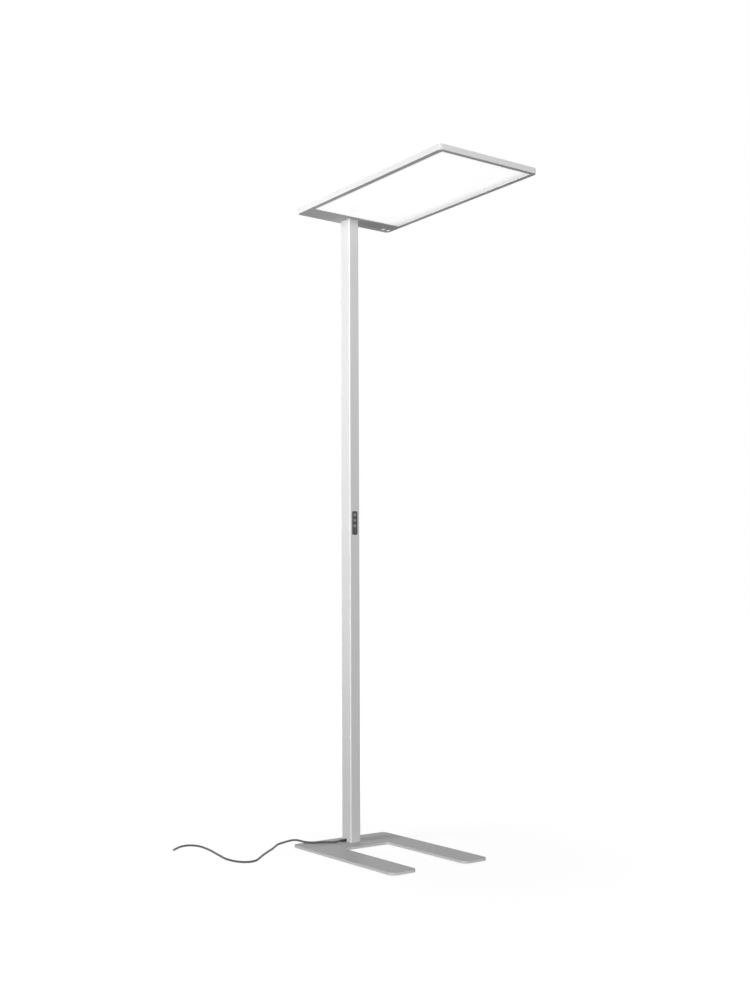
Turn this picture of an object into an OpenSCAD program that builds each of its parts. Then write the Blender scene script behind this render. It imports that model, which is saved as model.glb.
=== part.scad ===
// Office floor lamp: a flat light head on a tall rectangular post, with a
// U-shaped steel base. Millimetres, +Z up, +X along the head and the legs.

/* [Overall] */
// Height from the floor to the top of the head
total_h = 1950; // [1750:10:2100]

/* [Base] */
// Length of the base plate, from its rear edge to the tips of its legs
base_l = 500; // [440:5:560]
// Width of the base plate
base_w = 342; // [310:2:400]
// Thickness of the base plate
base_t = 8; // [6:0.5:12]
// Radius of the plate's outer corners
base_corner_r = 18; // [6:1:24]
// Depth of the plate behind the slot
bar_d = 139; // [120:1:160]
// Width of the slot between the legs
slot_w = 165; // [140:1:200]
// Radius of the slot's inner corners
slot_corner_r = 10; // [4:1:16]
// Distance from the plate's rear edge to the post's axis
post_back = 64; // [50:1:80]
// Thickness of the glide pads
pad_t = 2; // [1.5:0.5:4]
// Diameter of the glide pads
pad_d = 26; // [20:1:32]
// Distance from a pad's centre to the plate's edges
pad_inset = 28; // [24:1:34]

/* [Post] */
// Size of the post's section along X
post_x = 48.5; // [46:0.5:60]
// Size of the post's section along Y
post_y = 36.5; // [30:0.5:40]
// Wall thickness of the post
post_wall = 2; // [1.5:0.25:3]
// Radius of the post's long edges
post_edge_r = 4; // [2:0.5:5]
// Outer diameter of the screw channels inside the post
channel_d = 8; // [7.5:0.25:9]
// Bore of the screw channels
channel_bore = 4.5; // [3.5:0.1:5]
// Height of the cord's exit above the floor
exit_h = 15; // [15:0.5:24]
// Position of the cord's exit along X, from the post's axis
exit_x = -2; // [-8:1:6]

/* [Control panel] */
// Height of the panel's centre above the floor
panel_z = 978; // [900:1:1100]
// Width of the panel
panel_w = 20; // [18:1:22]
// Height of the panel
panel_h = 73; // [70:1:80]
// Radius of the panel's corners
panel_r = 4; // [2:0.5:5]
// Depth of the panel's housing inside the post, behind the wall
housing_d = 12; // [11:0.5:14]
// Diameter of the buttons
button_d = 9.6; // [8:0.2:10]
// Distance between neighbouring buttons
button_pitch = 17; // [15:0.5:18]
// Distance from the panel's top edge to the first button's centre
button_first = 11; // [10:0.5:12]
// How far a button can be pushed in
button_travel = 0.4; // [0.2:0.05:0.5]
// How far a button stands out of the panel
button_proud = 0.5; // [0.3:0.1:0.8]
// Width of the window below the buttons
window_w = 10; // [6:0.5:11]
// Height of the window below the buttons
window_h = 4; // [3:0.5:6]
// Distance from the last button's centre to the window's centre
window_drop = 13; // [11:0.5:15]

/* [Head] */
// Length of the head
head_l = 708; // [600:4:760]
// Width of the head
head_w = 350; // [320:2:380]
// Thickness of the head
head_t = 16.5; // [15:0.5:22]
// Distance from the head's rear edge to the post's axis
head_back = 34; // [32:1:44]
// Radius of the head's corners in plan
head_corner_r = 12.5; // [4:0.5:14]
// Thickness of the head's outer wall beside the cover
head_wall = 1.6; // [1.2:0.1:2.4]
// Width of the ledge that carries the cover
ledge_w = 5; // [4.5:0.25:6]
// Thickness of the underside's lip and rear band
lip_t = 1.5; // [1.2:0.1:2.5]
// Visible rim beside the diffuser, on the long sides
rim_side = 16; // [15:0.5:20]
// Visible rim in front of the diffuser
rim_front = 14; // [13:0.5:20]
// Visible band behind the diffuser
rear_band = 78; // [74:1:90]
// Overlap of the diffuser on the lip
lip_overlap = 6; // [3:0.5:7]
// Thickness of the wall between the two compartments
divider_t = 2.5; // [1.5:0.25:3]
// Thickness of the top cover
cover_t = 1.5; // [1:0.25:2]

/* [Light] */
// Thickness of the diffuser
diffuser_t = 2.5; // [2:0.25:3]
// Thickness of the light guide
guide_t = 4; // [3:0.5:4]
// Thickness of the reflector sheet
reflector_t = 0.5; // [0.3:0.1:1]
// Thickness of the heat plate
heat_t = 1.5; // [1:0.25:2]
// Thickness of the diode strips' boards
strip_t = 1; // [0.8:0.1:1.6]
// Distance between neighbouring diodes
diode_pitch = 12; // [10:0.5:16]
// Length of a diode
diode_l = 5; // [3:0.5:6]
// Height of a diode
diode_h = 2.8; // [2:0.2:3]
// How far a diode stands off its board
diode_t = 0.8; // [0.6:0.1:1.2]

/* [Head fittings] */
// Length of the bracket over the post, along Y
bracket_y = 72; // [60:2:80]
// Thickness of the bracket
bracket_t = 3; // [2:0.5:4]
// Length of the driver
driver_l = 98; // [80:1:100]
// Width of the driver
driver_w = 34; // [28:1:40]
// Height of the driver
driver_h = 10.5; // [8:0.5:11]
// Clearance between the driver's outer end and the head's side wall
driver_side = 6; // [4:0.5:8]
// Diameter of the sensor's lenses
lens_d = 12; // [9:0.5:13]
// Distance between the two lenses
lens_gap = 20; // [17:0.5:24]
// Distance from the lenses' midpoint to the head's far edge
lens_in = 25; // [23:1:30]
// Distance from the lenses to the head's rear edge
lens_from_rear = 24; // [20:1:30]
// Diameter of the sensor's small indicator lights
light_d = 4; // [3:0.25:5]

/* [Fasteners] */
// Head diameter of the large countersunk screws
screw_head_d = 8.6; // [7.5:0.1:9]
// Length of the large screws below their heads
screw_l = 22; // [16:1:30]
// Shank diameter of the small screws
small_d = 2.5; // [2:0.1:3]
// Head diameter of the small screws
small_head_d = 4.4; // [3.8:0.1:4.6]
// Spacing of the cover's screws along each long side
cover_screw_n = 4; // [3:1:6]

/* [Cord] */
// Diameter of the mains cord
cord_d = 6; // [5:0.5:7]
// Diameter of the lead from the control panel
control_lead_d = 3; // [2:0.5:4]

/* [Fits] */
// Clearance around fixed pieces that sit in a recess
fit = 0.2; // [0.1:0.05:0.3]
// Clearance around a moving button's cap
cap_gap = 0.2; // [0.1:0.05:0.3]
// Radial clearance of a button's stem in its guide
stem_gap = 0.08; // [0.04:0.01:0.1]
// Radial clearance of a screw in its hole
screw_gap = 0.1; // [0.05:0.05:0.2]
// Clearance beside a lead
lead_gap = 0.2; // [0.1:0.05:0.4]

/* [Hidden] */
$fn = 48;
e = 0.5; // how far a cut runs past the face that it opens

// Heights of the main faces.
plate_z0 = pad_t;
plate_z1 = pad_t + base_t;
head_z0 = total_h - head_t;
post_z0 = plate_z1;
post_z1 = head_z0;

// Base outline, from the post's axis.
base_x0 = -post_back;
base_x1 = base_l - post_back;
slot_x0 = bar_d - post_back;

// Head outline and compartments, from the post's axis.
head_x0 = -head_back;
head_x1 = head_l - head_back;
cavity_in = head_wall + ledge_w;
win_x0 = head_x0 + rear_band;
win_x1 = head_x1 - rim_front;
win_y = head_w / 2 - rim_side;
lamp_x0 = win_x0 - lip_overlap - fit;
lamp_x1 = head_x1 - cavity_in;
rear_x0 = head_x0 + cavity_in;
rear_x1 = lamp_x0 - divider_t;
cavity_y = head_w / 2 - cavity_in;
floor_z = head_z0 + lip_t;
cover_z0 = total_h - cover_t;

// Layers above the diffuser.
diff_z1 = floor_z + diffuser_t;
guide_z1 = diff_z1 + guide_t;
refl_z1 = guide_z1 + reflector_t;
heat_z1 = refl_z1 + heat_t;
strip_y = cavity_y - strip_t - diode_t;
stack_y = strip_y - fit;

// Post details.
inner_x = post_x / 2 - post_wall;
inner_y = post_y / 2 - post_wall;
channel_merge = 0.4; // how far a channel runs into the wall
channel_x = inner_x + channel_merge - channel_d / 2;
channel_y = inner_y + channel_merge - channel_d / 2;
screw_d = channel_bore - 2 * screw_gap;
screw_cone = (screw_head_d - screw_d) / 2;

// Control panel, with depths measured inwards from the post's front face.
face_x = post_x / 2;
body_w = min(2 * (channel_y - channel_d / 2) - fit, panel_w - 2);
body_h = panel_h - 8;
flange_t = 1;
guide_x1 = face_x - post_wall - flange_t - button_travel - 0.6;
guide_wall = 2.6;
stem_d = 4;
dome_r = 24;
board_t = 1.6;
housing_x0 = face_x - post_wall - housing_d;
board_x1 = housing_x0 + board_t + 0.4;
switch_h = 3.1;
plunger_x1 = board_x1 + switch_h + 0.5;
stem_x0 = plunger_x1 + button_travel + 0.05;
function button_z(i) = panel_z + panel_h / 2 - button_first - i * button_pitch;
window_z = button_z(2) - window_drop;

// Cord exit.
gland_hole = cord_d + 2.6;
gland_r = gland_hole / 2 - 0.1;
gland_flange = 1;
sleeve_l = 20;
sleeve_tip = cord_d / 2 + 0.4;
sleeve_ribs = 6;
sleeve_plain = 4; // plain ends of the sleeve, together
function sleeve_r(y) = gland_r + (sleeve_tip - gland_r) * y / sleeve_l;
gland_in = 5;
lead_bend = post_y / 2 - post_wall - gland_in; // brings the lead to the post's axis

// Leads and fittings in the head.
control_lead_x = housing_x0 - control_lead_d / 2 - lead_gap;
leads_x0 = exit_x - cord_d / 2;
leads_x1 = control_lead_x + control_lead_d / 2;
grommet_t = 1.4;
lead_hole_x = (leads_x0 + leads_x1) / 2;
lead_hole_d = leads_x1 - leads_x0 + 2 * (grommet_t + 2 * lead_gap);
connector_h = 8;
board_h = body_h - 2.8 - 2 * fit;
connector_z1 = panel_z + board_h / 2 - 1;
mains_turn = cord_d / 2 + 4.5;
mains_run_z = floor_z + bracket_t + cord_d / 2 + 1;
terminal_y0 = 42;
terminal_l = 22;
terminal_w = 26;
terminal_h = 12;
driver_foot = 8; // length of the driver's flange at each end
driver_from = cavity_y - driver_side - driver_l;
lens_y = head_w / 2 - lens_in;
lens_x = head_x0 + lens_from_rear;
lights_ahead = 25; // from the lenses to the lights beside them
sensor_w = 44;
sensor_z0 = floor_z + 4;
cover_screw_end = 20; // from the last screw to the tray's end

// Pieces are drawn about the post's axis, and moved so that the lamp's
// footprint is centred on the origin.
row_shift = -(min(base_x0, head_x0) + max(base_x1, head_x1)) / 2;
module in_row_frame() translate([row_shift, 0, 0]) children();

// ---- shared shapes ----

// A rectangle with round corners, from two bars and four discs.
module round_rect(x0, x1, y0, y1, r) {
    translate([x0 + r, y0]) square([x1 - x0 - 2 * r, y1 - y0]);
    translate([x0, y0 + r]) square([x1 - x0, y1 - y0 - 2 * r]);
    for (x = [x0 + r, x1 - r], y = [y0 + r, y1 - r]) translate([x, y]) circle(r = r);
}

module slab(x0, x1, y0, y1, r, z0, z1)
    translate([0, 0, z0]) linear_extrude(z1 - z0) round_rect(x0, x1, y0, y1, r);

// Places that the large screws share, at the post's four channels.
module at_channels() for (x = [-1, 1], y = [-1, 1]) translate([x * channel_x, y * channel_y, 0]) children();

// A countersunk screw with its head's flat face at z = 0, pointing up.
module countersunk(head_d, d, l, cone, socket) difference() {
    union() {
        cylinder(d1 = head_d, d2 = d, h = cone);
        translate([0, 0, cone / 2]) cylinder(d = d, h = l + cone / 2);
    }
    translate([0, 0, -e]) cylinder(d = socket, h = e + cone * 0.7, $fn = 6);
}

// The matching hole, opened past the face at z = 0.
module countersink(head_d, d, depth, cone) {
    translate([0, 0, -e]) cylinder(d = d + 2 * screw_gap, h = depth + 2 * e);
    cylinder(d1 = head_d + 2 * screw_gap, d2 = d + 2 * screw_gap, h = cone);
    translate([0, 0, -e]) cylinder(d = head_d + 2 * screw_gap, h = e);
}

// ---- base ----

module base_outline() {
    leg_y = base_w / 2;
    round_rect(base_x0, slot_x0, -leg_y, leg_y, base_corner_r);
    for (s = [0, 1]) mirror([0, s]) {
        round_rect(base_x0, base_x1, -leg_y, -slot_w / 2, base_corner_r);
        // concave corner between the leg and the bar
        translate([slot_x0, -slot_w / 2]) difference() {
            translate([-1, -1]) square(slot_corner_r + 1);
            translate([slot_corner_r, slot_corner_r]) circle(r = slot_corner_r);
        }
    }
}

module base_plate() color([0.60, 0.60, 0.61]) difference() {
    translate([0, 0, plate_z0]) linear_extrude(base_t) base_outline();
    at_channels() translate([0, 0, plate_z0]) countersink(screw_head_d, screw_d, base_t, screw_cone);
}

module base_pads() color([0.16, 0.16, 0.17]) {
    leg_mid = (base_w + slot_w) / 4;
    for (y = [-1, 1]) {
        translate([base_x0 + pad_inset, y * (base_w / 2 - pad_inset), 0]) cylinder(d = pad_d, h = pad_t);
        translate([base_x1 - pad_inset, y * leg_mid, 0]) cylinder(d = pad_d, h = pad_t);
        translate([(base_x0 + base_x1) / 2, y * leg_mid, 0]) cylinder(d = pad_d, h = pad_t);
    }
}

module base_screws() color([0.75, 0.75, 0.76])
    at_channels() translate([0, 0, plate_z0]) countersunk(screw_head_d, screw_d, screw_l, screw_cone, 2.5);

// ---- post ----

module post_section() {
    difference() {
        round_rect(-post_x / 2, post_x / 2, -post_y / 2, post_y / 2, post_edge_r);
        difference() {
            round_rect(-inner_x, inner_x, -inner_y, inner_y, max(post_edge_r - post_wall, 0.5));
            for (x = [-1, 1], y = [-1, 1]) translate([x * channel_x, y * channel_y]) circle(d = channel_d);
        }
        for (x = [-1, 1], y = [-1, 1]) translate([x * channel_x, y * channel_y]) circle(d = channel_bore);
    }
}

// A prism along X with a rounded outline in Y and Z.
module face_prism(x0, x1, w, h, r, z) translate([x0, 0, z]) rotate([90, 0, 90])
    linear_extrude(x1 - x0) round_rect(-w / 2, w / 2, -h / 2, h / 2, r);

module post_tube() color([0.88, 0.88, 0.89]) difference() {
    translate([0, 0, post_z0]) linear_extrude(post_z1 - post_z0) post_section();
    face_prism(face_x - post_wall, face_x + e, panel_w + 2 * fit, panel_h + 2 * fit, panel_r + fit, panel_z);
    translate([exit_x, -post_y / 2 - e, exit_h]) rotate([-90, 0, 0])
        cylinder(d = gland_hole, h = post_wall + 2 * e);
}

// Bushing with a tapered, ribbed sleeve, turned about the cord's line.
module cord_gland() color([0.24, 0.24, 0.25]) {
    r0 = gland_r;
    step = (sleeve_l - sleeve_plain) / sleeve_ribs;
    translate([exit_x, -post_y / 2, exit_h]) rotate([90, 0, 0]) rotate_extrude() polygon(concat(
        [[0, -post_wall - gland_in], [r0 - 0.6, -post_wall - gland_in], [r0, -post_wall - gland_in + 1],
         [r0, 0], [r0 + 0.6, 0], [r0 + 0.6, gland_flange]],
        [for (i = [0:sleeve_ribs - 1]) each [
            [sleeve_r(1 + i * step), gland_flange + 1 + i * step],
            [sleeve_r(1 + i * step), gland_flange + 1 + (i + 0.6) * step],
            [sleeve_r(1 + i * step) - 0.35, gland_flange + 1 + (i + 0.6) * step],
            [sleeve_r(1 + i * step) - 0.35, gland_flange + 1 + (i + 1) * step]]],
        [[sleeve_tip, gland_flange + 1 + sleeve_ribs * step], [sleeve_tip, gland_flange + sleeve_l],
         [0, gland_flange + sleeve_l]]));
}

// ---- control panel ----

module along_x(x0, x1, d, z, y = 0) translate([x0, y, z]) rotate([0, 90, 0]) cylinder(d = d, h = x1 - x0);

module control_housing() color([0.20, 0.20, 0.21]) difference() {
    union() {
        face_prism(face_x - post_wall, face_x, panel_w, panel_h, panel_r, panel_z);
        translate([housing_x0, -body_w / 2, panel_z - body_h / 2])
            cube([housing_d + 1, body_w, body_h]);
        // tongues that snap behind the wall, above and below the cut-out
        for (s = [0, 1]) translate([0, 0, panel_z]) mirror([0, 0, s])
            translate([face_x - post_wall - 0.2 - 1.6, -body_w / 2 + 1, body_h / 2 - 1])
                cube([1.6, body_w - 2, (panel_h - body_h) / 2 + 3]);
    }
    for (i = [0:2]) {
        along_x(guide_x1, face_x + e, button_d + 2 * cap_gap, button_z(i));
        along_x(guide_x1, face_x - post_wall, button_d + 1.4, button_z(i));
        along_x(guide_x1 - guide_wall - e, guide_x1 + e, stem_d + 2 * stem_gap, button_z(i));
    }
    // room for the switches, then the wider seat of the board
    translate([housing_x0 - e, -body_w / 2 + 1.6, panel_z - body_h / 2 + 2.4])
        cube([guide_x1 - guide_wall - housing_x0 + e, body_w - 3.2, body_h - 4.8]);
    translate([housing_x0 - e, -body_w / 2 + 1, panel_z - body_h / 2 + 1.4])
        cube([board_x1 - housing_x0 + e, body_w - 2, body_h - 2.8]);
    face_prism(face_x - 1.2, face_x + e, window_w, window_h, 1, window_z);
    face_prism(guide_x1 - guide_wall - e, face_x, window_w - 3, window_h - 2, 0.5, window_z);
}

// A round button, turned in one piece: stem, retaining flange and domed cap.
module button(i) {
    back = face_x - post_wall - 0.1;
    r = button_d / 2;
    rise = r * r / (2 * dome_r);
    translate([0, 0, button_z(i)]) rotate([0, 90, 0]) rotate_extrude() polygon(concat(
        [[0, stem_x0], [stem_d / 2 - 0.3, stem_x0], [stem_d / 2, stem_x0 + 0.3],
         [stem_d / 2, back - flange_t], [r + 0.45, back - flange_t], [r + 0.45, back],
         [r, back], [r, face_x + button_proud - rise - 0.3], [r - 0.3, face_x + button_proud - rise]],
        [for (k = [5:-1:0]) let(q = (r - 0.6) * k / 5)
            [q, face_x + button_proud - q * q / (2 * dome_r)]]));
}

module button_brighter() color([0.50, 0.50, 0.51]) button(0);
module button_power() color([0.50, 0.50, 0.51]) button(1);
module button_dimmer() color([0.50, 0.50, 0.51]) button(2);

module panel_window() color([0.28, 0.28, 0.30])
    face_prism(face_x - 1.2, face_x, window_w - 0.1, window_h - 0.1, 0.95, window_z);

module control_board() color([0.10, 0.30, 0.16]) {
    w = body_w - 2 - 2 * fit;
    conn_x0 = control_lead_x - control_lead_d / 2 - 0.3;
    translate([board_x1 - board_t, -w / 2, panel_z - board_h / 2]) cube([board_t, w, board_h]);
    // connector on the board's back, at its top
    translate([conn_x0, -w / 2 + 1, connector_z1 - connector_h])
        cube([board_x1 - board_t + 0.1 - conn_x0, w - 2, connector_h]);
    // status light behind the window
    translate([board_x1 - 0.1, -1, window_z - 0.6]) cube([1, 2, 1.2]);
}

module tact_switches() color([0.12, 0.12, 0.13]) {
    s = min(6, body_w - 3.2 - 2 * fit);
    for (i = [0:2]) {
        translate([board_x1, -s / 2, button_z(i) - s / 2]) cube([switch_h, s, s]);
        along_x(board_x1 + switch_h / 2, plunger_x1, 3.2, button_z(i));
    }
}

// ---- leads inside the lamp ----

module mains_lead() color([0.15, 0.15, 0.16]) {
    y0 = -post_y / 2 + post_wall + gland_in;
    top = mains_run_z - mains_turn;
    translate([exit_x, y0, exit_h]) lead_elbow(cord_d, lead_bend);
    translate([exit_x, 0, exit_h + lead_bend]) cylinder(d = cord_d, h = top - exit_h - lead_bend);
    translate([exit_x, 0, top]) top_elbow(cord_d, mains_turn);
    translate([exit_x, mains_turn, mains_run_z]) rotate([-90, 0, 0])
        cylinder(d = cord_d, h = terminal_y0 - mains_turn);
}

// Starts along +Y at the origin and ends along +Z at [0, bend, bend].
module lead_elbow(d, bend) translate([0, 0, bend]) rotate([90, 0, 90]) rotate([0, 0, -90])
    rotate_extrude(angle = 90) translate([bend, 0]) circle(d = d);

// Starts along +Z at the origin and ends along +Y at [0, bend, bend].
module top_elbow(d, bend) translate([0, bend, 0]) rotate([90, 0, 90]) rotate([0, 0, 90])
    rotate_extrude(angle = 90) translate([bend, 0]) circle(d = d);

module control_lead() color([0.15, 0.15, 0.16]) {
    z0 = connector_z1;
    turn = control_lead_d / 2 + 4.5;
    run_z = mains_run_z;
    translate([control_lead_x, 0, z0]) cylinder(d = control_lead_d, h = run_z - turn - z0);
    translate([control_lead_x, 0, run_z - turn]) mirror([0, 1, 0]) top_elbow(control_lead_d, turn);
    translate([control_lead_x, -driver_from - driver_foot, run_z]) rotate([-90, 0, 0])
        cylinder(d = control_lead_d, h = driver_from + driver_foot - turn);
}

// ---- head ----

module head_frame() color([0.80, 0.80, 0.81]) difference() {
    slab(head_x0, head_x1, -head_w / 2, head_w / 2, head_corner_r, head_z0, total_h);
    // recess of the cover
    slab(head_x0 + head_wall, head_x1 - head_wall, -head_w / 2 + head_wall, head_w / 2 - head_wall,
        head_corner_r - head_wall, cover_z0, total_h + e);
    // light compartment and rear compartment
    slab(lamp_x0, lamp_x1, -cavity_y, cavity_y, 2, floor_z, cover_z0 + e);
    slab(rear_x0, rear_x1, -cavity_y, cavity_y, 2, floor_z, cover_z0 + e);
    // window of the diffuser
    slab(win_x0, win_x1, -win_y, win_y, 2, head_z0 - e, floor_z + e);
    // holes in the rear band
    at_channels() translate([0, 0, head_z0 - e]) cylinder(d = screw_d + 2 * screw_gap, h = lip_t + 2 * e);
    translate([lead_hole_x, 0, head_z0 - e]) cylinder(d = lead_hole_d, h = lip_t + 2 * e);
    at_lenses() translate([0, 0, head_z0 - e]) cylinder(d = lens_d + 2 * fit, h = lip_t + 2 * e);
    at_lights() translate([0, 0, head_z0 - e]) cylinder(d = light_d + 2 * fit, h = lip_t + 2 * e);
    // holes of the cover's screws
    at_cover_screws() translate([0, 0, cover_z0 - 8]) cylinder(d = small_d + 2 * screw_gap, h = 8 + e);
    // notches for the strips' wires in the dividing wall
    for (y = [-1, 1]) translate([rear_x1 - e, y * (cavity_y - 12) - 3, diff_z1])
        cube([divider_t + 2 * e, 6, 4]);
}

module at_cover_screws() {
    x0 = head_x0 + head_wall + ledge_w / 2;
    x1 = head_x1 - head_wall - ledge_w / 2;
    y = head_w / 2 - head_wall - ledge_w / 2;
    for (i = [0:cover_screw_n - 1], s = [-1, 1])
        translate([x0 + cover_screw_end + (x1 - x0 - 2 * cover_screw_end) * i / (cover_screw_n - 1),
            s * y, 0]) children();
}

module at_lenses() for (s = [-1, 1]) translate([lens_x, lens_y + s * lens_gap / 2, 0]) children();

module at_lights() {
    for (s = [-1, 1]) translate([lens_x + lights_ahead, lens_y + s * lens_gap / 2, 0]) children();
    translate([lens_x - 6, lens_y - 1.5 * lens_gap, 0]) children();
}

module top_cover() color([0.86, 0.86, 0.87]) difference() {
    slab(head_x0 + head_wall + fit, head_x1 - head_wall - fit, -head_w / 2 + head_wall + fit,
        head_w / 2 - head_wall - fit, head_corner_r - head_wall - fit, cover_z0, total_h);
    at_cover_screws() translate([0, 0, total_h]) mirror([0, 0, 1])
        countersink(small_head_d, small_d, cover_t, (small_head_d - small_d) / 2);
}

module cover_screws() color([0.78, 0.78, 0.79]) at_cover_screws() translate([0, 0, total_h])
    mirror([0, 0, 1]) countersunk(small_head_d, small_d, 5, (small_head_d - small_d) / 2, 1.5);

module diffuser() color([0.97, 0.97, 0.96])
    slab(win_x0 - lip_overlap, win_x1 + lip_overlap, -win_y - lip_overlap, win_y + lip_overlap,
        2, floor_z, diff_z1);

module light_guide() color([0.93, 0.95, 0.96])
    slab(lamp_x0 + fit, lamp_x1 - fit, -stack_y, stack_y, 1, diff_z1, guide_z1);

module reflector_sheet() color([0.96, 0.96, 0.95])
    slab(lamp_x0 + fit, lamp_x1 - fit, -stack_y, stack_y, 1, guide_z1, refl_z1);

module heat_plate() color([0.76, 0.77, 0.78])
    slab(lamp_x0 + fit, lamp_x1 - fit, -cavity_y + fit, cavity_y - fit, 1.8, refl_z1, heat_z1);

module backing_pad() color([0.35, 0.35, 0.36])
    slab(lamp_x0 + fit, lamp_x1 - fit, -cavity_y + fit, cavity_y - fit, 1.8, heat_z1, cover_z0);

// One strip along the near long side: board and a row of diodes.
module led_strip() {
    l = lamp_x1 - lamp_x0 - 8;
    z0 = diff_z1;
    h = refl_z1 - diff_z1 - fit;
    n = floor((l - 12) / diode_pitch);
    translate([lamp_x0 + 4, -cavity_y, z0]) cube([l, strip_t, h]);
    for (i = [0:n]) translate([lamp_x0 + 4 + (l - n * diode_pitch) / 2 + i * diode_pitch - diode_l / 2,
        -cavity_y + strip_t - 0.1, z0 + (h - diode_h) / 2]) cube([diode_l, diode_t + 0.1, diode_h]);
}

module led_strip_near() color([0.95, 0.93, 0.80]) led_strip();
module led_strip_far() color([0.95, 0.93, 0.80]) mirror([0, 1, 0]) led_strip();

// Plate that spreads the post's load over the band.
module head_bracket() color([0.70, 0.71, 0.72]) difference() {
    slab(rear_x0 + fit, rear_x1 - fit, -bracket_y / 2, bracket_y / 2, 2, floor_z, floor_z + bracket_t);
    at_channels() translate([0, 0, floor_z + bracket_t]) mirror([0, 0, 1])
        countersink(screw_head_d, screw_d, bracket_t, screw_cone);
    translate([lead_hole_x, 0, floor_z - e]) cylinder(d = lead_hole_d, h = bracket_t + 2 * e);
}

module head_screws() color([0.75, 0.75, 0.76]) at_channels() translate([0, 0, floor_z + bracket_t])
    mirror([0, 0, 1]) countersunk(screw_head_d, screw_d, screw_l, screw_cone, 2.5);

module lead_grommet() color([0.14, 0.14, 0.15]) translate([lead_hole_x, 0, head_z0]) rotate_extrude()
    polygon([[lead_hole_d / 2 - grommet_t, 0], [lead_hole_d / 2 - fit / 2, 0],
        [lead_hole_d / 2 - fit / 2, lip_t + bracket_t], [lead_hole_d / 2 + 1.2, lip_t + bracket_t],
        [lead_hole_d / 2 + 1.2, lip_t + bracket_t + 0.8],
        [lead_hole_d / 2 - grommet_t, lip_t + bracket_t + 0.8]]);

module at_driver_screws() for (s = [0, 1])
    translate([(rear_x0 + rear_x1) / 2, -driver_from - driver_foot / 2 - s * (driver_l - driver_foot), 0])
        children();

module driver() color([0.85, 0.85, 0.84]) {
    xm = (rear_x0 + rear_x1) / 2;
    difference() {
        union() {
            slab(xm - driver_w / 2, xm + driver_w / 2, -driver_from - driver_l, -driver_from,
                2, floor_z, floor_z + 1.2);
            slab(xm - driver_w / 2, xm + driver_w / 2, -driver_from - driver_l + driver_foot,
                -driver_from - driver_foot, 2, floor_z + 1, floor_z + driver_h);
        }
        at_driver_screws() translate([0, 0, floor_z - e]) cylinder(d = small_d + 2 * screw_gap, h = 3);
    }
}

module driver_screws() color([0.78, 0.78, 0.79]) at_driver_screws() {
    translate([0, 0, floor_z]) cylinder(d = small_d, h = 1.4);
    translate([0, 0, floor_z + 1.2]) cylinder(d = small_head_d, h = 1.6);
}

module terminal_block() color([0.92, 0.92, 0.90]) difference() {
    translate([exit_x - terminal_w / 2, terminal_y0, floor_z]) cube([terminal_w, terminal_l, terminal_h]);
    for (i = [-1:1]) translate([exit_x + i * 8, terminal_y0 + terminal_l / 2, floor_z + 4])
        cylinder(d = 4, h = terminal_h - 4 + e);
}

module sensor_board() color([0.10, 0.30, 0.16]) {
    x0 = lens_x - 11;
    y0 = lens_y - 1.5 * lens_gap - 4;
    chip = sensor_w / 3;
    translate([x0, y0, sensor_z0]) cube([sensor_w, cavity_y - 0.5 - y0, 1.6]);
    for (x = [x0 + 4, x0 + sensor_w - 4]) translate([x, lens_y, floor_z]) cylinder(d = 4, h = 4.2);
    translate([x0 + chip, y0 + chip / 2, sensor_z0 + 1.5]) cube([chip, chip, 3]);
}

// Two domed lenses, each with a flange inside the band.
module sensor_lenses() color([0.93, 0.93, 0.92]) at_lenses() {
    dome = 1.4;
    r = (pow(lens_d / 2, 2) + dome * dome) / (2 * dome);
    intersection() {
        translate([0, 0, head_z0 - dome]) cylinder(d = lens_d, h = dome + lip_t + 1);
        translate([0, 0, head_z0 - dome + r]) sphere(r = r, $fn = 96);
    }
    translate([0, 0, floor_z]) cylinder(d = lens_d + 2, h = 4);
}

module sensor_lights() color([0.62, 0.62, 0.62]) at_lights() {
    translate([0, 0, head_z0 - 0.3]) cylinder(d = light_d, h = lip_t + 2);
    translate([0, 0, floor_z]) cylinder(d = light_d + 1.6, h = 4);
}

// ---- cord ----

// Route of the cord's centre line, about the post's axis, from the sleeve's tip.
cord_pts = [
    [exit_x, -post_y / 2 - gland_flange - sleeve_l, exit_h], [-2, -50, 13.9], [-6, -61, 13.1], [-14, -73, 13.1], [-23, -86, 13.1],
    [-30, -101, 13.1], [-38, -115, 13.1], [-52, -127, 13.1], [-67, -134, 14], [-81, -138, 15.2],
    [-94, -141, 14.8], [-107, -146, 12.6], [-117, -154, 9.4], [-123, -165, 6.1], [-124, -178, 3.9],
    [-118, -191, 3.1], [-106, -203, 3.1], [-90, -219, 3.1], [-72, -237, 3.1], [-50, -262, 3.1], [-26, -289, 3.1],
    [0, -316, 3.1], [25, -341, 3.1], [44, -363, 3.1], [48, -386, 3.1], [34, -405, 3.1],
    [6, -416, 3.1], [-30, -418, 3.1], [-75, -411, 3.1], [-120, -403, 3.1], [-165, -395, 3.1],
    [-205, -391, 3.1], [-240, -392, 3.1], [-264, -402, 3.1], [-273, -421, 3.1], [-265, -444, 3.1],
    [-251, -462, 3.1], [-236, -480, 3.1]];
cord_sides = 10;

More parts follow.
